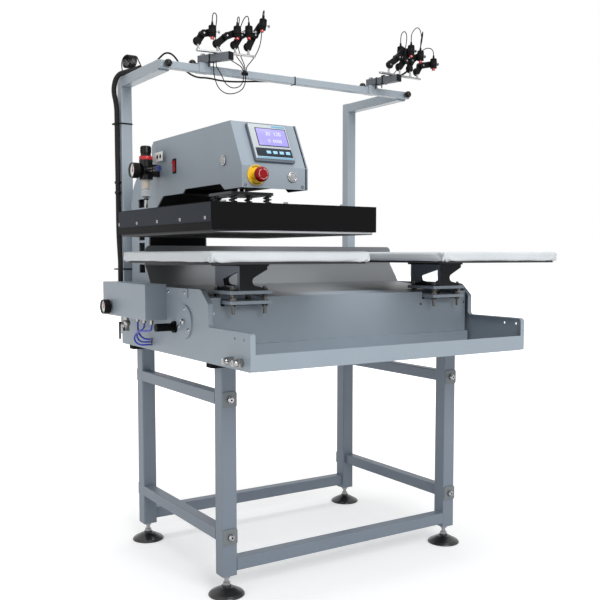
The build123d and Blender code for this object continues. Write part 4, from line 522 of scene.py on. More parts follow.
def finish_piece(name, builder, materials, body, smooth=35.0):
    """Turns a bmesh into a piece with its materials."""
    mesh = bpy.data.meshes.new(name)
    builder.to_mesh(mesh)
    builder.free()
    for material in materials:
        mesh.materials.append(material)
    return add_piece(name, mesh, body, smooth)


# %% Directions and places
FRONT, REAR, LEFT = (0, -1, 0), (0, 1, 0), (-1, 0, 0)


def shift(x, y, z):
    """A move in millimetres."""
    return Matrix.Translation(Vector((x, y, z)) / 1000)


def turned(degrees, axis):
    """A turn about one axis."""
    return Matrix.Rotation(math.radians(degrees), 4, axis)


def place_at(x, y, z, towards=(0, 0, 1)):
    """A frame at a point in millimetres, its Z axis along a direction."""
    return shift(x, y, z) @ Vector(towards).to_track_quat("Z", "Y").to_matrix().to_4x4()


# %% Boxes and turned shapes
def add_box(builder, low, high, bevel=0.0, segments=2):
    """Adds a box between two corners in millimetres, with rounded edges where asked."""
    size = Vector([(b - a) / 1000 for a, b in zip(low, high)])
    centre = Vector([(a + b) / 2000 for a, b in zip(low, high)])
    made = bmesh.ops.create_cube(builder, size=1.0)["verts"]
    bmesh.ops.scale(builder, vec=size, verts=made)
    if bevel:
        edges = list({e for v in made for e in v.link_edges})
        result = bmesh.ops.bevel(builder, geom=edges, offset=bevel / 1000, segments=segments,
                                 profile=0.5, affect="EDGES", clamp_overlap=True)
        made = list({v for f in result["faces"] for v in f.verts} | {v for v in made if v.is_valid})
    bmesh.ops.translate(builder, vec=centre, verts=made)


def lathe(builder, profile, place, steps=40, material=0):
    """Turns a profile of (radius, height) in millimetres about the Z axis of a place.

    A profile that ends where it starts gives a ring, any other is closed by a flat face at each end.
    """
    is_ring = profile[0] == profile[-1]
    rings = []
    for radius, height in profile[:-1] if is_ring else profile:
        if radius < 1e-6:
            rings.append([builder.verts.new(place @ Vector((0, 0, height / 1000)))])
            continue
        ring = []
        for step in range(steps):
            angle = 2 * math.pi * step / steps
            point = Vector((radius * math.cos(angle), radius * math.sin(angle), height)) / 1000
            ring.append(builder.verts.new(place @ point))
        rings.append(ring)
    if is_ring:
        rings.append(rings[0])
    faces = []
    for lower, upper in zip(rings, rings[1:]):
        for step in range(steps):
            nxt = (step + 1) % steps
            if len(lower) == 1 and len(upper) == 1:
                continue
            if len(lower) == 1:
                faces.append(builder.faces.new((lower[0], upper[nxt], upper[step])))
            elif len(upper) == 1:
                faces.append(builder.faces.new((lower[step], lower[nxt], upper[0])))
            else:
                faces.append(builder.faces.new((lower[step], lower[nxt], upper[nxt], upper[step])))
    for ring, flip in () if is_ring else ((rings[0], True), (rings[-1], False)):
        if len(ring) > 1:
            faces.append(builder.faces.new(ring[::-1] if flip else ring))
    for face in faces:
        face.material_index = material
    bmesh.ops.recalc_face_normals(builder, faces=faces)


# %% [markdown]
# The head's neck is closed by two bent sheets between its side walls: a black one under the shoulder in
# front and a painted one over the shoulder behind. Each follows a line in the y and z plane.

# %% Shoulder covers of the head
def bent_sheet(name, line, low, high, thickness, side, finish, body):
    """A sheet bent along a line of (y, z) points between two x values, all in millimetres."""
    inner = []
    for i, point in enumerate(line):
        before = Vector(point) - Vector(line[max(i - 1, 0)])
        after = Vector(line[min(i + 1, len(line) - 1)]) - Vector(point)
        along = (before.normalized() + after.normalized()).normalized()
        stretch = 1.0 / max(0.5, along.dot((after if i == 0 else before).normalized()))
        inner.append(Vector(point) + side * thickness * stretch * Vector((along.y, -along.x)))
    builder = bmesh.new()
    loop = [Vector(point) for point in line] + inner[::-1]
    ends = [[builder.verts.new((x / 1000, y / 1000, z / 1000)) for y, z in loop] for x in (low, high)]
    count, last = len(line), len(loop) - 1
    for i in range(len(loop)):
        k = (i + 1) % len(loop)
        builder.faces.new((ends[0][i], ends[0][k], ends[1][k], ends[1][i]))
    for end in ends:
        for i in range(count - 1):
            builder.faces.new((end[i], end[i + 1], end[last - i - 1], end[last - i]))
    bmesh.ops.recalc_face_normals(builder, faces=builder.faces)
    return finish_piece(name, builder, [finish], body)


neck_left, neck_right, sheet, bend_radius = -501.5, -294.5, 2.0, 130
front_line = [(262, 1157), (142, 1237), (-11, 1237), (-27, 1248.5)]
rear_line = [(287 + bend_radius * math.cos(math.radians(a)), 1206 + bend_radius * math.sin(math.radians(a)))
             for a in range(0, 91, 9)] + [(230, 1336), (230, 1406), (215, 1419)]
bent_sheet("shoulder_front_cover", front_line, neck_left, neck_right, sheet, 1, PAINT["matt_black"], "head")
bent_sheet("shoulder_rear_cover", rear_line, neck_left, neck_right, sheet, -1, PAINT["body"], "head")


# %% [markdown]
# ## Screw heads
# The same domed screw holds the panels, the platen casing and the brackets. Geometry Nodes put one head
# on each vertex of a small guide mesh, so a new screw is only a new point. The nuts on the levelling bolts
# come from the same tree, with one finish for head and socket.

# %% Node helpers
def name_inputs(tree, sockets):
    """Gives a tree its named inputs, each with a kind and, where it has one, a usual value."""
    for label, kind, value in sockets:
        socket = tree.interface.new_socket(label, in_out="INPUT", socket_type=kind)
        if value is not None:
            socket.default_value = value


def maths(tree, operation, *terms):
    """A Math node on plain numbers or on outputs of other nodes; returns its result."""
    node = tree.nodes.new("ShaderNodeMath")
    node.operation = operation
    for socket, term in zip(node.inputs, terms):
        if isinstance(term, float):
            socket.default_value = term
        else:
            tree.links.new(term, socket)
    return node.outputs[0]


# %% Screw head node tree
def screw_tree():
    """A node tree that puts a domed, hex-socket head on every point, facing a chosen way."""
    tree = bpy.data.node_groups.new("screw heads", "GeometryNodeTree")
    tree.interface.new_socket("Geometry", in_out="INPUT", socket_type="NodeSocketGeometry")
    name_inputs(tree, (("Radius", "NodeSocketFloat", 0.004), ("Height", "NodeSocketFloat", 0.002),
                       ("Facing", "NodeSocketVector", (0.0, 0.0, 0.0)),
                       ("Head", "NodeSocketMaterial", None), ("Socket", "NodeSocketMaterial", None)))
    tree.interface.new_socket("Geometry", in_out="OUTPUT", socket_type="NodeSocketGeometry")
    made, link = tree.nodes.new, tree.links.new
    inputs, outputs = made("NodeGroupInput"), made("NodeGroupOutput")
    radius = inputs.outputs["Radius"]
    top_share, socket_share, socket_depth = 0.72, 0.42, 0.0004
    head = made("GeometryNodeMeshCone")
    head.inputs["Vertices"].default_value = 20
    link(maths(tree, "MULTIPLY", radius, top_share), head.inputs["Radius Top"])
    link(radius, head.inputs["Radius Bottom"])
    link(inputs.outputs["Height"], head.inputs["Depth"])
    head_paint = made("GeometryNodeSetMaterial")
    link(head.outputs["Mesh"], head_paint.inputs["Geometry"])
    link(inputs.outputs["Head"], head_paint.inputs["Material"])
    hexagon = made("GeometryNodeMeshCylinder")
    hexagon.inputs["Vertices"].default_value = 6
    link(maths(tree, "MULTIPLY", radius, socket_share), hexagon.inputs["Radius"])
    hexagon.inputs["Depth"].default_value = socket_depth
    raise_hex = made("GeometryNodeTransform")
    offset = made("ShaderNodeCombineXYZ")
    link(inputs.outputs["Height"], offset.inputs["Z"])
    link(offset.outputs[0], raise_hex.inputs["Translation"])
    link(hexagon.outputs["Mesh"], raise_hex.inputs["Geometry"])
    hex_paint = made("GeometryNodeSetMaterial")
    link(raise_hex.outputs["Geometry"], hex_paint.inputs["Geometry"])
    link(inputs.outputs["Socket"], hex_paint.inputs["Material"])
    both = made("GeometryNodeJoinGeometry")
    link(hex_paint.outputs["Geometry"], both.inputs["Geometry"])
    link(head_paint.outputs["Geometry"], both.inputs["Geometry"])
    spread = made("GeometryNodeInstanceOnPoints")
    link(inputs.outputs["Geometry"], spread.inputs["Points"])
    link(both.outputs["Geometry"], spread.inputs["Instance"])
    link(inputs.outputs["Facing"], spread.inputs["Rotation"])
    real = made("GeometryNodeRealizeInstances")
    link(spread.outputs["Instances"], real.inputs["Geometry"])
    link(real.outputs["Geometry"], outputs.inputs["Geometry"])
    return tree


SCREWS = screw_tree()
print("Screw tree:", len(SCREWS.nodes), "nodes")


# %% From a tree to a plain mesh
def socket_ids(tree):
    """The identifiers of a tree's named inputs."""
    return {item.name: item.identifier for item in tree.interface.items_tree if item.in_out == "INPUT"}


def from_nodes(name, guide_points, tree, values, body):
    """Runs a tree on guide points in millimetres and keeps the result as a plain mesh."""
    guide = bpy.data.meshes.new(name + " guide")
    guide.from_pydata([tuple(v / 1000 for v in p) for p in guide_points], [], [])
    holder = bpy.data.objects.new(name + " guide", guide)
    bpy.context.scene.collection.objects.link(holder)
    modifier = holder.modifiers.new("nodes", "NODES")
    modifier.node_group = tree
    ids = socket_ids(tree)
    for key, value in values.items():
        modifier[ids[key]] = value
    bpy.context.view_layer.update()
    depsgraph = bpy.context.evaluated_depsgraph_get()
    mesh = bpy.data.meshes.new_from_object(holder.evaluated_get(depsgraph))
    mesh.name = name
    bpy.data.objects.remove(holder)
    bpy.data.meshes.remove(guide)
    return add_piece(name, mesh, body, smooth=30)


def facing(direction):
    """The Euler turn that points a head's Z axis along a direction."""
    return tuple(Vector(direction).to_track_quat("Z", "Y").to_euler())


def screws(name, points, direction, radius, height, body, head=None, socket=None):
    """A set of screw heads that face one way."""
    return from_nodes(name, points, SCREWS,
                      {"Radius": radius / 1000, "Height": height / 1000, "Facing": facing(direction),
                       "Head": head or METAL["zinc"], "Socket": socket or PLASTIC["black"]}, body)


# %% Panel, platen and flange screws
screws("platen_side_screws", [(-661.5, y, 1141) for y in (-474, -322, -168, -17, 130)], LEFT, 5.0, 2.5,
       "press")
screws("head_front_screws", [(-493, -387, 1239), (-307, -387, 1240)], FRONT, 5.5, 3.0, "head",
       head=METAL["chrome"])
shaft_y, shaft_z, flange_radius = -59, 841, 40
screws("shaft_centre_screw", [(-536, shaft_y, shaft_z)], LEFT, 9.0, 5.0, "stand", head=METAL["chrome"])
flange_turns = [math.radians(angle) for angle in (95, 215, 335)]
screws("shaft_flange_screws", [(-531, shaft_y + flange_radius * math.cos(turn),
                                shaft_z + flange_radius * math.sin(turn)) for turn in flange_turns],
       LEFT, 5.5, 3.0, "stand", head=METAL["chrome"])
screws("front_panel_screws", [(-500, -200, 873), (301, -200, 877), (499, -200, 878)], FRONT, 5.0, 2.5,
       "stand", head=METAL["chrome"])
for label, z, way in (("low", 900, -1), ("mid", 930, -1), ("top", 940, 1)):
    screws(f"mount_nuts_{label}", [(x, y, z) for x, y in MOUNT_BOLTS], (0, 0, way), 11.0, 9.0, "stand",
           head=METAL["bolt"], socket=METAL["bolt"])
screws("hinge_plate_screws", [(-529, 58, 930), (-529, -62, 930)], LEFT, 5.5, 3.0, "stand",
       head=METAL["chrome"])
LEG_X = (-447, 447)
for label, y, way in (("front", -208, FRONT), ("rear", 483, REAR)):
    screws(f"leg_bolts_{label}", [(x, y, z) for x in LEG_X for z in (188, 611)], way, 9.0, 4.5, "stand",
           head=METAL["chrome"])


# %% [markdown]
# ## Rows of ribs, ticks and marks
# Gauge ticks, the grip ribs of a knob, knurling and the marks round the stop button are all the same
# thing: small blocks in a ring. One Geometry Nodes tree makes any of them from a count, a radius and the
# size of one block.

# %% Ring of blocks node tree
def ring_tree():
    """A node tree that sets blocks round the Z axis, each turned to point outwards."""
    tree = bpy.data.node_groups.new("ring of blocks", "GeometryNodeTree")
    name_inputs(tree, (("Count", "NodeSocketInt", 12), ("Radius", "NodeSocketFloat", 0.01),
                       ("Start", "NodeSocketFloat", 0.0), ("Step", "NodeSocketFloat", 0.5),
                       ("Block", "NodeSocketVector", (0.002, 0.001, 0.001)),
                       ("Finish", "NodeSocketMaterial", None)))
    tree.interface.new_socket("Geometry", in_out="OUTPUT", socket_type="NodeSocketGeometry")
    made, link = tree.nodes.new, tree.links.new
    inputs, outputs = made("NodeGroupInput"), made("NodeGroupOutput")
    index = made("GeometryNodeInputIndex").outputs["Index"]
    angle = maths(tree, "MULTIPLY_ADD", index, inputs.outputs["Step"], inputs.outputs["Start"])
    place = made("ShaderNodeCombineXYZ")
    for axis, operation in (("X", "COSINE"), ("Y", "SINE")):
        across = maths(tree, "MULTIPLY", maths(tree, operation, angle), inputs.outputs["Radius"])
        link(across, place.inputs[axis])
    turn = made("ShaderNodeCombineXYZ")
    link(angle, turn.inputs["Z"])
    points = made("GeometryNodePoints")
    link(inputs.outputs["Count"], points.inputs["Count"])
    link(place.outputs[0], points.inputs["Position"])
    block = made("GeometryNodeMeshCube")
    link(inputs.outputs["Block"], block.inputs["Size"])
    spread = made("GeometryNodeInstanceOnPoints")
    link(points.outputs[0], spread.inputs["Points"])
    link(block.outputs["Mesh"], spread.inputs["Instance"])
    link(turn.outputs[0], spread.inputs["Rotation"])
    real = made("GeometryNodeRealizeInstances")
    link(spread.outputs["Instances"], real.inputs["Geometry"])
    paint = made("GeometryNodeSetMaterial")
    link(real.outputs["Geometry"], paint.inputs["Geometry"])
    link(inputs.outputs["Finish"], paint.inputs["Material"])
    link(paint.outputs["Geometry"], outputs.inputs["Geometry"])
    return tree


RING = ring_tree()
print("Ring tree:", len(RING.nodes), "nodes")


def ring_of(name, place, count, radius, block, finish, body, start=0.0, sweep=360.0):
    """Blocks round the Z axis of a place; sizes in millimetres and angles in degrees."""
    step = sweep / count if abs(sweep) >= 360 else sweep / (count - 1)
    piece = from_nodes(name, [(0, 0, 0)], RING,
                       {"Count": count, "Radius": radius / 1000, "Start": math.radians(start),
                        "Step": math.radians(step), "Block": tuple(v / 1000 for v in block),
                        "Finish": finish}, body)
    piece.data.transform(place)


# %% [markdown]
# ## Padded platen covers
# Each lower platen is a board with foam on it and a silvery heat-proof cloth pulled over both. The cloth
# is tight on top, soft at the edge, and folded at the corners, where it makes short fans of creases. The
# pad starts as a box of small faces, its edges are rounded by rule, and then each vertex is moved a
# little along its normal: broad waves on the sides, and creases that run out from the corners.

# %% Cover cloth
COVER, cover_tree, cover_shader = new_material("silver cover cloth", (0.56, 0.59, 0.615), 0.46)
cover_shader.inputs["Sheen Weight"].default_value = 0.25
cover_coords = cover_tree.nodes.new("ShaderNodeTexCoord")
weave = cover_tree.nodes.new("ShaderNodeTexBrick")
weave.inputs["Scale"].default_value = 420.0
weave.inputs["Mortar Size"].default_value = 0.03
weave.inputs["Color1"].default_value = (1.0, 1.0, 1.0, 1.0)
weave.inputs["Color2"].default_value = (0.8, 0.8, 0.8, 1.0)
weave.inputs["Mortar"].default_value = (0.3, 0.3, 0.3, 1.0)
cover_tree.links.new(cover_coords.outputs["Object"], weave.inputs["Vector"])
stain = object_noise(cover_tree, 9.0, 4.0)
vary_colour(cover_tree, cover_shader, stain, (0.50, 0.53, 0.555), (0.62, 0.65, 0.675))
add_bump(cover_tree, cover_shader, weave, 0.25, 0.0004, output="Color")
BOARD = moulded("platen board", (0.045, 0.045, 0.048), 0.55)
print("Finishes of the lower platens:", COVER.name, "and", BOARD.name)


# %% Pad shape
def pad_grid(builder, low, high, cells):
    """Six grids of small faces on a box, joined at the edges."""
    for axis in range(3):
        u, v = (axis + 1) % 3, (axis + 2) % 3
        for side in (0, 1):
            rows = []
            for i in range(cells[u] + 1):
                row = []
                for j in range(cells[v] + 1):
                    point = [0.0, 0.0, 0.0]
                    point[axis] = (low, high)[side][axis]
                    point[u] = low[u] + (high[u] - low[u]) * i / cells[u]
                    point[v] = low[v] + (high[v] - low[v]) * j / cells[v]
                    row.append(builder.verts.new(point))
                rows.append(row)
            for i in range(cells[u]):
                for j in range(cells[v]):
                    corners = [rows[i][j], rows[i + 1][j], rows[i + 1][j + 1], rows[i][j + 1]]
                    builder.faces.new(corners if side else corners[::-1])
    bmesh.ops.remove_doubles(builder, verts=builder.verts[:], dist=0.01)


def soft_edge(point, low, high, radius):
    """Moves a point of a box onto the same box with rounded edges."""
    inner = [min(max(p, a + radius), b - radius) for p, a, b in zip(point, low, high)]
    away = Vector([p - q for p, q in zip(point, inner)])
    return Vector(inner) + away.normalized() * radius if away.length > 1e-6 else Vector(point)


def crease(point, low, high, seed):
    """How far the cloth stands out at a point: waves along the sides and fans at the corners."""
    wave = 0.9 * noise.noise(Vector((point.x / 70, point.y / 70, seed)))
    # the nearest corner of the pad, and how far down from the top the point lies, from 0 to 1
    corner_x = low[0] if point.x < (low[0] + high[0]) / 2 else high[0]
    corner_y = low[1] if point.y < (low[1] + high[1]) / 2 else high[1]
    nearest = math.hypot(point.x - corner_x, point.y - corner_y)
    angle = math.atan2(abs(point.y - corner_y) + 9, abs(point.x - corner_x) + 9)
    depth = (high[2] - point.z) / (high[2] - low[2])
    # creases and finer pleats fan out from the corner and fade away from it
    fan = math.sin(angle * 17 + seed * 3 + 5 * depth) * math.exp(-nearest / 46) * (0.5 + 1.6 * depth)
    pleat = math.sin(angle * 31 + 9 * depth) * math.exp(-nearest / 24) * (0.4 + depth)
    # the hem is drawn in below
    hem = -1.5 * max(0.0, depth - 0.72) / 0.28
    return wave * (0.35 + depth) + 2.4 * fan + 1.3 * pleat + hem


def platen_cover(name, node, x0, x1, seed):
    """The cover over foam and board, and the board under it."""
    low, high = (x0 + 2.0, -491.0, 1026.0), (x1 - 2.0, 121.0, 1056.2)
    builder = bmesh.new()
    pad_grid(builder, low, high, (88, 104, 8))
    for vertex in builder.verts:
        vertex.co = soft_edge(vertex.co, low, high, 9.0)
    builder.normal_update()
    moved = []
    for vertex in builder.verts:
        slack = 0.35 if vertex.normal.z > 0.9 else 1.0  # tight on top, looser on the sides
        moved.append(vertex.co + vertex.normal * crease(vertex.co, low, high, seed) * slack)
    for vertex, place in zip(builder.verts, moved):
        place.z = min(place.z, 1056.8)  # just under the heated platen at its lowest
        vertex.co = place / 1000
    piece = finish_piece(name, builder, [COVER], "stand", smooth=60)
    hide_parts(node)
    board = bmesh.new()
    add_box(board, (x0 + 12, -481, 1021), (x1 - 12, 111, 1027), bevel=1.0)
    under = finish_piece(name + "_board", board, [BOARD], "stand")
    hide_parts(node)


platen_cover("left_platen_cover", "left_platen", -656, -140, 1.3)
platen_cover("right_platen_cover", "right_platen", 140, 656, 4.1)


# %% [markdown]
# ## The touch controller
# The controller sits on the sloped face: a pale frame, a lilac screen with plain numbers, a dark strip
# with four keys and two thin blue strips. Everything is laid out in the face's own plane, with X to the
# right, Y up the slope and Z outwards, and one matrix puts it in place.

# %% The slope's own frame
slope_up = Vector((0.0, 65.0, 128.0)).normalized()
slope_out = Vector((0.0, -128.0, 65.0)).normalized()
SLOPE = shift(HEAD_X, -362.52, 1361.07) @ Matrix(
    (Vector((1, 0, 0)), slope_up, slope_out)).transposed().to_4x4()
SCREEN = moulded("lilac screen", (0.25, 0.22, 0.66), 0.30, coat=0.1)
set_shader(SCREEN, {"Emission Color": (0.42, 0.42, 0.86, 1.0), "Emission Strength": 0.25})
DIGITS = moulded("screen digits", (0.86, 0.88, 0.92), 0.30)
SILVER = moulded("pale silver frame", (0.42, 0.46, 0.48), 0.42)
STRIP_BLUE = moulded("blue strip", (0.12, 0.34, 0.52), 0.35)
DARK_STRIP = moulded("key strip", (0.022, 0.030, 0.042), 0.36)
print("The slope faces", tuple(round(value, 3) for value in slope_out))


# %% Plates and numbers
def on_slope(name, low, high, finish, bevel=0.4):
    """A small plate in the slope's frame, in millimetres."""
    builder = bmesh.new()
    add_box(builder, low, high, bevel=bevel)
    bmesh.ops.transform(builder, matrix=SLOPE, verts=builder.verts[:])
    return finish_piece(name, builder, [finish], "head")


def numbers(name, text, place, size, finish, body):
    """Plain numbers as a thin mesh, put in the middle of a place with Z outwards."""
    curve = bpy.data.curves.new(name, "FONT")
    curve.body = text
    curve.size = size / 1000
    curve.align_x = "CENTER"
    curve.align_y = "CENTER"
    curve.extrude = 0.0001
    curve.offset = -size * 0.012 / 1000  # thinner strokes
    holder = bpy.data.objects.new(name, curve)
    mesh = bpy.data.meshes.new_from_object(holder)
    bpy.data.objects.remove(holder)
    bpy.data.curves.remove(curve)
    mesh.transform(place)
    mesh.materials.clear()
    mesh.materials.append(finish)
    mesh.name = name
    return add_piece(name, mesh, body)


# %% Controller face
on_slope("controller_frame", (-61.5, -54, 0.0), (62.5, 59.5, 1.4), SILVER, 0.8)
on_slope("controller_screen_edge", (-42.5, -13, 1.0), (58, 47, 1.9), PLASTIC["black"], 0.5)
on_slope("controller_screen", (-40, -10.5, 1.2), (55.5, 44.5, 2.2), SCREEN, 0.3)
on_slope("controller_strip", (-56, -47, 1.0), (60.5, -19.5, 1.8), DARK_STRIP, 0.4)
on_slope("controller_top_strip", (14, 50.5, 1.0), (58, 56, 1.7), STRIP_BLUE, 0.3)
on_slope("controller_low_strip", (-56, -53, 1.0), (60.5, -48.5, 1.7), STRIP_BLUE, 0.3)
for number, key_x in enumerate((-16.5, 4.5, 25.5, 46.5), start=1):
    on_slope(f"controller_key_{number}", (key_x - 7, -38, 1.6), (key_x + 7, -28.5, 2.6),
             PLASTIC["key"], 0.6)
numbers("screen_numbers_top", "20  120", SLOPE @ shift(13, 28, 2.3), 17, DIGITS, "head")
numbers("screen_numbers_low", "0  0000", SLOPE @ shift(14, 4, 2.3), 15, DIGITS, "head")

# %% Gap lines beside the control panel
on_slope("panel_gap_line", (99.8, -71, -9.5), (102.6, 71, -8.3), PLASTIC["black"], 0.0)
builder = bmesh.new()
add_box(builder, (-298.2, -388.4, 1232), (-295.4, -387.4, 1291))
finish_piece("panel_gap_low", builder, [PLASTIC["black"]], "head")


# %% [markdown]
# ## Push buttons
# The stop button is a red mushroom on a yellow disc. A lathe makes it, and short pale arcs on its face
# show which way to turn it free. The start buttons are plain metal caps with a bright ring.

# %% Stop button
STOP_X, START_X, BUTTON_Z = -461, -343, 1266
stop_face = place_at(STOP_X, -409, BUTTON_Z, FRONT)
builder = bmesh.new()
lathe(builder, [(0, -26), (7.9, -26), (7.9, 0.5), (12.0, 0.6), (17.5, 1.6), (20.2, 3.4), (21.0, 6.4),
                (20.6, 11.5), (19.2, 15.5), (16.4, 18.4), (12.0, 19.6), (5.0, 19.3), (0, 19.1)],
      stop_face, 56)
stop_cap = finish_piece("stop_mushroom", builder, [PLASTIC["dark_red"]], "estop", smooth=50)
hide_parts("estop_button")
for part in range(3):
    ring_of(f"stop_arc_{part + 1}", stop_face @ shift(0, 0, 19.4), 9, 13.6, (1.2, 1.6, 0.9),
            PLASTIC["pale_red"], "estop", start=part * 120, sweep=88)
for part, start in (("top", 62), ("low", 242)):
    ring_of(f"stop_disc_marks_{part}", place_at(STOP_X, -390, BUTTON_Z, FRONT), 7, 23.8, (4.4, 1.9, 0.5),
            PLASTIC["black"], "head", start=start, sweep=56)


# %% Start buttons and their rings
def metal_cap(name, node, place, body):
    """A turned cap with a dished face and a rounded rim."""
    cap = bmesh.new()
    lathe(cap, [(0, -13), (10.6, -13), (10.6, 0.4), (10.3, 1.2), (9.4, 1.6), (7.6, 1.2), (3.0, 0.7),
                (0, 0.6)], place, 48)
    piece = finish_piece(name, cap, [METAL["steel"]], body, smooth=40)
    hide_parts(node)


def bright_ring(name, place, body):
    """The plated ring round a button."""
    ring = bmesh.new()
    lathe(ring, [(11.3, -0.2), (14.7, -0.2), (14.9, 0.5), (14.2, 1.3), (12.4, 1.6), (11.4, 1.2),
                 (11.3, -0.2)], place, 48)
    finish_piece(name, ring, [METAL["chrome"]], body, smooth=40)


metal_cap("front_start_cap", "front_button", place_at(START_X, -390.6, BUTTON_Z, FRONT), "start_button")
bright_ring("front_start_ring", place_at(START_X, -390, BUTTON_Z, FRONT), "head")
metal_cap("side_start_cap", "side_button", place_at(-509.6, -283, 1313, LEFT), "side_start_button")
bright_ring("side_start_ring", place_at(-509, -283, 1313, LEFT), "head")


# %% [markdown]
# ## Air unit and gauges
# The regulator has a ribbed black knob over a red ring, a glossy body and a clear bowl with the tan
# filter inside. Each gauge is a black case with a clear lens over a white dial; the ticks are a ring of
# blocks and the numbers are plain text.

# %% Clear plastic
CLEAR, clear_tree, clear_shader = new_material("clear bowl", (0.80, 0.84, 0.86), 0.06)
clear_shader.inputs["Alpha"].default_value = 0.20
vary_roughness(clear_tree, clear_shader, object_noise(clear_tree, 60.0, 2.0), 0.03, 0.12)
DIAL = moulded("gauge dial", (0.92, 0.92, 0.90), 0.45)
# the dial glows a little as painted light, so it stays white deep in its dark case
set_shader(DIAL, {"Emission Color": (0.92, 0.93, 0.95, 1.0), "Emission Strength": 0.12})
LENS_CLEAR, lens_tree, lens_shader = new_material("gauge lens", (0.90, 0.92, 0.94), 0.05)
lens_shader.inputs["Alpha"].default_value = 0.05
vary_roughness(lens_tree, lens_shader, object_noise(lens_tree, 60.0, 2.0), 0.03, 0.10)
print("Clear finishes:", CLEAR.name, "and", LENS_CLEAR.name)

# %% Regulator knob and ring
FILTER_X, FILTER_Y, KNOB_Z = -549, 178, 1366.3
builder = bmesh.new()
lathe(builder, [(0, 0), (15.5, 0), (16.8, 1.2), (16.8, 7.0), (15.6, 8.0), (16.9, 9.0), (16.6, 29.5),
                (15.4, 32.4), (12.0, 33.5), (0, 33.7)], place_at(FILTER_X, FILTER_Y, KNOB_Z), 48)
knob = finish_piece("regulator_grip", builder, [PLASTIC["black_gloss"]], "pressure_knob", smooth=40)
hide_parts("regulator_knob")
ring_of("regulator_grip_ribs", place_at(FILTER_X, FILTER_Y, KNOB_Z + 19.5), 32, 16.9, (1.9, 1.5, 19.0),
        PLASTIC["black_gloss"], "pressure_knob")
builder = bmesh.new()
lathe(builder, [(18.6, 0), (21.6, 0), (22.0, 1.0), (22.0, 10.4), (21.0, 11.6), (18.6, 11.6), (18.6, 0)],
      place_at(FILTER_X, FILTER_Y, 1354.4), 56)
finish_piece("regulator_red_ring", builder, [PLASTIC["red"]], "head", smooth=40)
builder = bmesh.new()
add_box(builder, (-521, 112, 1348), (-519, 182, 1378), bevel=0.6)
add_box(builder, (-520, 180, 1350), (-506, 182, 1374), bevel=0.6)
finish_piece("regulator_bracket", builder, [PLASTIC["white"]], "head")
screws("regulator_bracket_holes", [(-521, 126, 1363), (-521, 150, 1363)], LEFT, 7.0, 0.6, "head",
       head=PLASTIC["black"])

# %% Clear bowl, filter and drain
BOWL = place_at(FILTER_X, FILTER_Y, 1228)
builder = bmesh.new()
lathe(builder, [(12.0, 60.0), (12.8, 14.0), (8.0, 6.0), (5.5, 3.0), (5.5, -1.0), (8.5, -1.0), (13.5, 1.5),
                (16.4, 8.0), (17.2, 20.0), (17.2, 62.0), (12.0, 62.0), (12.0, 60.0)], BOWL, 56)
bowl = finish_piece("filter_clear_bowl", builder, [CLEAR], "head", smooth=50)
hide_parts("filter_bowl")
builder = bmesh.new()
core_slots = [PLASTIC["tan"], PLASTIC["black"], METAL["nickel"]]
for profile, steps, slot in (([(0, 34), (9.8, 34), (10.8, 36), (10.8, 60), (0, 60)], 32, 0),
                             ([(0, 31), (11.4, 31), (11.8, 33), (10.4, 34), (0, 34)], 32, 2),
                             ([(0, 6), (12.6, 6), (13.2, 8), (12.0, 9.4), (0, 9.4)], 32, 1),
                             ([(0, -28), (4.4, -28), (5.2, -26), (5.2, -3), (0, -3)], 24, 2),
                             ([(0, -3), (7.6, -3), (7.6, 4), (4.0, 6), (0, 6)], 24, 1)):
    lathe(builder, profile, BOWL, steps, slot)
filter_core = finish_piece("filter_core", builder, core_slots, "head")
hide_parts("filter_bowl")

# %% Push-in fitting at the inlet
INLET = place_at(FILTER_X, 111.5, 1319, FRONT)
builder = bmesh.new()
lathe(builder, [(0, 0), (8.6, 0), (9.0, 1.2), (9.0, 26.0), (7.8, 28.0), (7.8, 34.0), (0, 34.0)],
      INLET, 32, 0)
lathe(builder, [(0, 34), (8.4, 34), (8.8, 35.2), (8.8, 39.0), (7.6, 40.4), (4.2, 40.4), (4.2, 38.0),
                (0, 38.0)], INLET, 32, 1)
FITTING_BLUE = moulded("release ring blue", (0.012, 0.024, 0.17), 0.36)
finish_piece("inlet_push_fitting", builder, [PLASTIC["black_gloss"], FITTING_BLUE], "head")


# %% Gauge faces
MARKS = ("0", "2", "4", "6", "8", "10")


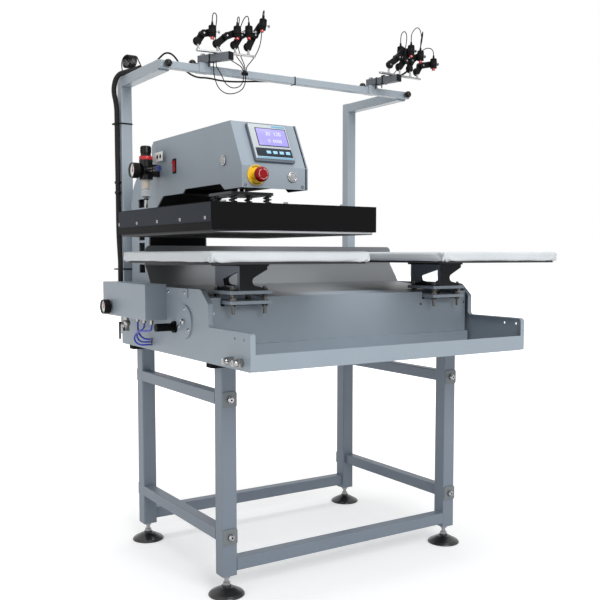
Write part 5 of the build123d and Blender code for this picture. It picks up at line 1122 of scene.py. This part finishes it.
def gauge_face(name, x, y, z, body):
    """A clear lens over a white dial with ticks and numbers, in a gauge that faces the left side."""
    paint_where(name, LENS_CLEAR, lambda face_x, face_y, face_z, n:
                x + 0.3 < face_x < x + 1.9 and math.hypot(face_y - y, face_z - z) < 22.4)
    dial_place = place_at(x + 5.6, y, z, LEFT)
    dial = bmesh.new()
    lathe(dial, [(0, 0), (21.6, 0), (21.6, 0.5), (0, 0.5)], dial_place, 56)
    finish_piece(name + "_dial", dial, [DIAL], body)
    for kind, count, radius, block in (("ticks", 41, 18.6, (1.7, 0.4, 0.3)),
                                       ("long_ticks", len(MARKS), 17.8, (3.6, 0.8, 0.3))):
        ring_of(f"{name}_{kind}", dial_place @ shift(0, 0, 0.6), count, radius, block, PLASTIC["black"],
                body, start=-225, sweep=270)
    # the numbers read from the left side: X towards the operator, Y up and Z outwards
    upright = Matrix(((0, 0, -1, 0), (-1, 0, 0, 0), (0, 1, 0, 0), (0, 0, 0, 1)))
    for index, mark in enumerate(MARKS):
        angle = math.radians(225 - 270 * index / (len(MARKS) - 1))
        spot = shift(12.8 * math.cos(angle), 12.8 * math.sin(angle), 0)
        numbers(f"{name}_number_{index + 1}", mark, shift(x + 4.9, y, z) @ upright @ spot, 4.6,
                PLASTIC["black"], body)
    rim = bmesh.new()
    lathe(rim, [(21.8, -1.2), (24.9, -1.2), (25.0, 0.2), (24.0, 1.1), (22.6, 0.9), (21.8, -1.2)],
          place_at(x, y, z, LEFT), 64)
    finish_piece(name + "_rim", rim, [PLASTIC["black_gloss"]], body, smooth=50)


gauge_face("line_gauge", -599, FILTER_Y, 1319, "head")
gauge_face("supply_gauge", -627, 390, 868, "stand")


# %% [markdown]
# ## Laser pointers and their joints
# Each pointer hangs on two flat links with clamp knobs at the joints, like a small lamp. Round knobs, heat
# fins round the barrel and a red lens make them read as pointers. The knobs ride on the arm; the fins and
# the lens ride on the pointer, so they turn with it. A pointer's place is given along its bar, its joints
# in the plane of its links, and a sign says on which side of the links the barrel sits.

# %% Where the pointer bars are
STATIONS = {
    "left": {"x": -360, "swing": 27, "reach": 112, "bar_at": 70, "bar_turn": -5.8, "bar_shift": 22},
    "right": {"x": 338, "swing": 14, "reach": 130, "bar_at": 105, "bar_turn": 5, "bar_shift": 36},
}
POINTERS = {
    "left": [(-94, (-4, 27), (11, 49), (36, 56), 0, -1), (-31, (0, 26), (28, 50), (60, 64), 0, -1),
             (28, (3, 28), (21, 57), (42, 69), 0, -1), (77, (2, 27), (20, 63), (43, 98), 8, -1)],
    "right": [(-59, (0, 30), (47, 62), (84, 94), 0, 1), (-5, (2, 30), (21, 52), (35, 90), 0, -1),
              (44, (7, 30), (2, 57), (35, 77), 0, -1), (79, (9, 24), (24, 47), (70, 58), 0, -1)],
}


def bar_frame(side):
    """The frame on top of a pointer bar's arm, with X along the bar."""
    station = STATIONS[side]
    swing = math.radians(station["swing"])
    x = station["x"] + station["bar_at"] * math.sin(swing)
    y = BEAM_Y - station["bar_at"] * math.cos(swing)
    return shift(x, y, 1702.5) @ turned(station["bar_turn"], "Z") @ shift(station["bar_shift"], 0, 0)


print("Pointers:", {side: len(places) for side, places in POINTERS.items()})


# %% Clamp knobs
def clamp_knob(knobs, pins, seat, radius, depth):
    """A round knob and the end of its screw, on a seat with Z outwards."""
    lathe(knobs, [(0, 0), (radius - 1.5, 0), (radius, 1.2), (radius, depth - 1.8), (radius - 2.2, depth),
                  (0, depth)], seat, 28)
    lathe(pins, [(0, depth), (3.0, depth), (3.0, depth + 1.2), (2.2, depth + 1.9), (0, depth + 1.9)],
          seat, 14)


def joint_knobs(knobs, pins, bar_place, knuckle, elbow, hand):
    """One knob at the low joint, on the side away from the barrel, and two at the high one."""
    clamps = [(knuckle, -hand, 4.2, 14.5, 6.5)]
    clamps += [(elbow, way, 12.4 if way == hand else 4.2, 12.0, 6.0) for way in (-1, 1)]
    for (x, z), way, reach, radius, depth in clamps:
        seat = bar_place @ shift(x, way * reach, z) @ turned(-90 * way, "X")
        clamp_knob(knobs, pins, seat, radius, depth)


# %% Heat fins and lens of one pointer
LENS = moulded("red lens", (0.60, 0.02, 0.02), 0.12, coat=0.6)


def fins_and_lens(number, barrel_place):
    """Four fins round the barrel and the lens at its lower end."""
    fins = bmesh.new()
    for low in (-17.6, -12.4, 8.0, 12.6):
        lathe(fins, [(9.6, low), (12.2, low), (12.6, low + 0.8), (12.6, low + 2.8), (12.2, low + 3.6),
                     (9.6, low + 3.6)], barrel_place, 28)
    lathe(fins, [(0, -26.4), (4.4, -26.4), (6.3, -25.0), (6.3, -18.2), (0, -18.2)], barrel_place, 24, 1)
    finish_piece(f"pointer_{number}_fins", fins, [PLASTIC["black"], LENS], f"pointer_{number}")


# %% End cap and ties of an arm
def add_band(builder, low, high, walls):
    """A closed tie: thin boxes on the sides of a box, as thick as its walls say on each axis."""
    for axis, wall in enumerate(walls):
        if wall:
            near, far = list(high), list(low)
            near[axis], far[axis] = low[axis] + wall, high[axis] - wall
            add_box(builder, low, near, bevel=0.3)
            add_box(builder, far, high, bevel=0.3)


def arm_cap_and_ties(side, tie_places):
    """The arm's plastic end cap, and ties round the arm with their tails."""
    station = STATIONS[side]
    caps = bmesh.new()
    add_box(caps, (station["reach"] - 0.5, -12.8, -12.8), (station["reach"] + 3.5, 12.8, 12.8), bevel=1.2)
    for at in tie_places:
        add_band(caps, (at, -13.6, -13.6), (at + 4.5, 13.6, 13.6), (0, 1.2, 1.2))
        add_box(caps, (at, -15.6, -30.0), (at + 4.5, -14.2, -9.0), bevel=0.4)
    arm_place = shift(station["x"], BEAM_Y, 1690) @ turned(station["swing"] - 90, "Z")
    bmesh.ops.transform(caps, matrix=arm_place, verts=caps.verts[:])
    finish_piece(f"{side}_arm_cap_and_ties", caps, [PLASTIC["black"]], f"pointer_arm_{side}")


# %% Both arms
for side, first, tie_places in (("left", 1, (34,)), ("right", 5, (34, 62))):
    knobs, pins = bmesh.new(), bmesh.new()
    for number, (along, knuckle, elbow, barrel, lean, hand) in enumerate(POINTERS[side], start=first):
        bar_place = bar_frame(side) @ shift(along, 0, 5)
        joint_knobs(knobs, pins, bar_place, knuckle, elbow, hand)
        barrel_place = bar_place @ shift(barrel[0], hand * 25, barrel[1]) @ turned(lean, "Y")
        lathe(pins, [(0, 12), (2.0, 12), (2.0, 21), (5.2, 21.5), (5.2, 25), (0, 25)],
              barrel_place @ turned(90, "Y"), 16)
        fins_and_lens(number, barrel_place)
    finish_piece(f"{side}_clamp_knobs", knobs, [PLASTIC["black"]], f"pointer_arm_{side}", smooth=40)
    finish_piece(f"{side}_clamp_pins", pins, [METAL["zinc"]], f"pointer_arm_{side}", smooth=40)
    arm_cap_and_ties(side, tie_places)


# %% [markdown]
# ## Ties and connectors
# A cable tie is a thin closed band, made of four boxes. A small knot holds the thin cables together on each
# arm. Two dark connectors sit on the trunk, halfway down the mast.

# %% Knots and ties
for side, low, high in (("left", (-250, 63, 1640), (-230, 77, 1651)),
                        ("right", (348.5, 73, 1702.6), (355.5, 91, 1710))):
    builder = bmesh.new()
    add_box(builder, low, high, bevel=2.0, segments=3)
    finish_piece(f"{side}_cable_knot", builder, [PLASTIC["black"]], f"pointer_arm_{side}")
builder = bmesh.new()
for z in (1510, 993):
    add_band(builder, (-537, 470.6, z), (-475, 513.6, z + 5), (1.2, 1.2, 0))
add_band(builder, (-8, 124.4, 1644.6), (-4, 152.6, 1672.4), (0, 1.4, 1.2))
finish_piece("cable_ties", builder, [PLASTIC["black"]], "stand")

# %% Trunk connectors
builder = bmesh.new()
for z in (1300, 1264):
    lathe(builder, [(9.2, 0), (11.4, 0), (12.0, 1.2), (12.0, 8.0), (11.0, 9.4), (9.2, 9.4)],
          place_at(-526.4, 490.2, z), 36)
finish_piece("trunk_connectors", builder, [PLASTIC["black_gloss"]], "stand")


# %% [markdown]
# ## Feet
# Each levelling foot has a soft rubber lip that spreads a little on the floor. It is the same all round, so
# a lathe turns it from one profile.

# %% Rubber lips
foot_places = [(x, y) for x in LEG_X for y in (-171, 446)]
for number, (x, y) in enumerate(foot_places, start=1):
    lip = bmesh.new()
    lathe(lip, [(46.0, 0.3), (55.6, 0.3), (56.6, 1.2), (56.4, 3.4), (54.0, 6.6), (50.0, 9.2), (46.0, 9.2),
                (46.0, 0.3)], place_at(x, y, 0), 64)
    finish_piece(f"foot_lip_{number}", lip, [PLASTIC["rubber"]], "stand", smooth=50)


# %% [markdown]
# ## Quick couplers
# Two air couplers stand on the left side plate. Each has a turned collar, and its knurl is a ring of narrow
# blocks, which catches the light as the real grip does.

# %% Coupler collars
for number, coupler_y in enumerate((-364, -420), start=1):
    axis = place_at(-526, coupler_y, 752, LEFT)
    builder = bmesh.new()
    lathe(builder, [(0, 12), (10.2, 12), (10.8, 13.2), (10.8, 24.4), (10.2, 25.6), (6.6, 26.2), (6.6, 31.0),
                    (4.4, 31.0), (4.4, 27.0), (0, 27.0)], axis, 40)
    finish_piece(f"coupler_{number}_collar", builder, [METAL["chrome"]], "stand")
    ring_of(f"coupler_{number}_knurl", axis @ shift(0, 0, 18.8), 28, 10.7, (0.9, 1.1, 8.4), METAL["chrome"],
            "stand")


# %% [markdown]
# ## The stage
# The machine stands on a plain pale floor in soft light. The floor looks white, yet still takes the
# machine's shadow: it glows only for rays that the camera sees, straight, in a mirror surface or through
# clear plastic, and so throws no light onto the machine.

# %% Floor
WHITE = (1.0, 1.0, 1.0, 1.0)


def any_seen_ray(tree):
    """One where a ray comes from the camera, a mirror surface or clear plastic, and nought elsewhere."""
    kinds = tree.nodes.new("ShaderNodeLightPath").outputs
    seen = maths(tree, "MAXIMUM", kinds["Is Camera Ray"], kinds["Is Glossy Ray"])
    return maths(tree, "MAXIMUM", seen, kinds["Is Transmission Ray"])


def pale_floor():
    """A floor that looks white yet keeps its shadow: a pale surface with a little glow for seen rays.

    The glow grows with the distance from the machine, so the floor meets the white background unseen.
    """
    material = bpy.data.materials.new("pale floor")
    material.use_nodes = True
    tree = material.node_tree
    shader = tree.nodes["Principled BSDF"]
    shader.inputs["Base Color"].default_value = (0.80, 0.80, 0.80, 1.0)
    shader.inputs["Roughness"].default_value = 0.9
    coords = tree.nodes.new("ShaderNodeTexCoord")
    distance = tree.nodes.new("ShaderNodeVectorMath")
    distance.operation = "LENGTH"
    tree.links.new(coords.outputs["Object"], distance.inputs[0])
    glow = tree.nodes.new("ShaderNodeMapRange")
    glow.inputs["From Min"].default_value = 0.9
    glow.inputs["From Max"].default_value = 3.5
    glow.inputs["To Min"].default_value = 0.32
    glow.inputs["To Max"].default_value = 1.0
    tree.links.new(distance.outputs["Value"], glow.inputs["Value"])
    strength = maths(tree, "MULTIPLY", glow.outputs["Result"], any_seen_ray(tree))
    shader.inputs["Emission Color"].default_value = WHITE
    tree.links.new(strength, shader.inputs["Emission Strength"])
    return material


bpy.ops.mesh.primitive_plane_add(size=60.0, location=(0.0, 0.0, 0.0))
floor = bpy.context.object
floor.name = "floor"
floor.data.materials.append(pale_floor())
print("Floor:", tuple(floor.dimensions))

# %% World
world = bpy.data.worlds.new("studio")
bpy.context.scene.world = world
world.use_nodes = True
world_tree = world.node_tree
background = world_tree.nodes["Background"]
background.inputs["Color"].default_value = WHITE
background.inputs["Strength"].default_value = 0.55
white_background = world_tree.nodes.new("ShaderNodeBackground")
white_background.inputs["Color"].default_value = WHITE
white_background.inputs["Strength"].default_value = 1.0
mixer = world_tree.nodes.new("ShaderNodeMixShader")
world_tree.links.new(any_seen_ray(world_tree), mixer.inputs["Fac"])
world_tree.links.new(background.outputs[0], mixer.inputs[1])
world_tree.links.new(white_background.outputs[0], mixer.inputs[2])
world_tree.links.new(mixer.outputs[0], world_tree.nodes["World Output"].inputs["Surface"])
print("World light:", background.inputs["Strength"].default_value)

# %% Lamps
MIDDLE = Vector((0.0, 0.0, 0.9))


def soft_lamp(name, place, size, power):
    """A large square lamp that looks at the middle of the machine."""
    data = bpy.data.lights.new(name, "AREA")
    data.shape = "SQUARE"
    data.size = size
    data.energy = power
    lamp = bpy.data.objects.new(name, data)
    lamp.location = place
    lamp.rotation_euler = (MIDDLE - Vector(place)).to_track_quat("-Z", "Y").to_euler()
    bpy.context.scene.collection.objects.link(lamp)
    print(f"Lamp {name}: {power} W")


soft_lamp("key", (-0.6, -4.4, 3.4), 2.6, 148.0)
soft_lamp("left", (-4.2, -0.6, 2.4), 2.4, 17.0)
soft_lamp("top", (0.0, 0.2, 4.4), 3.0, 70.0)
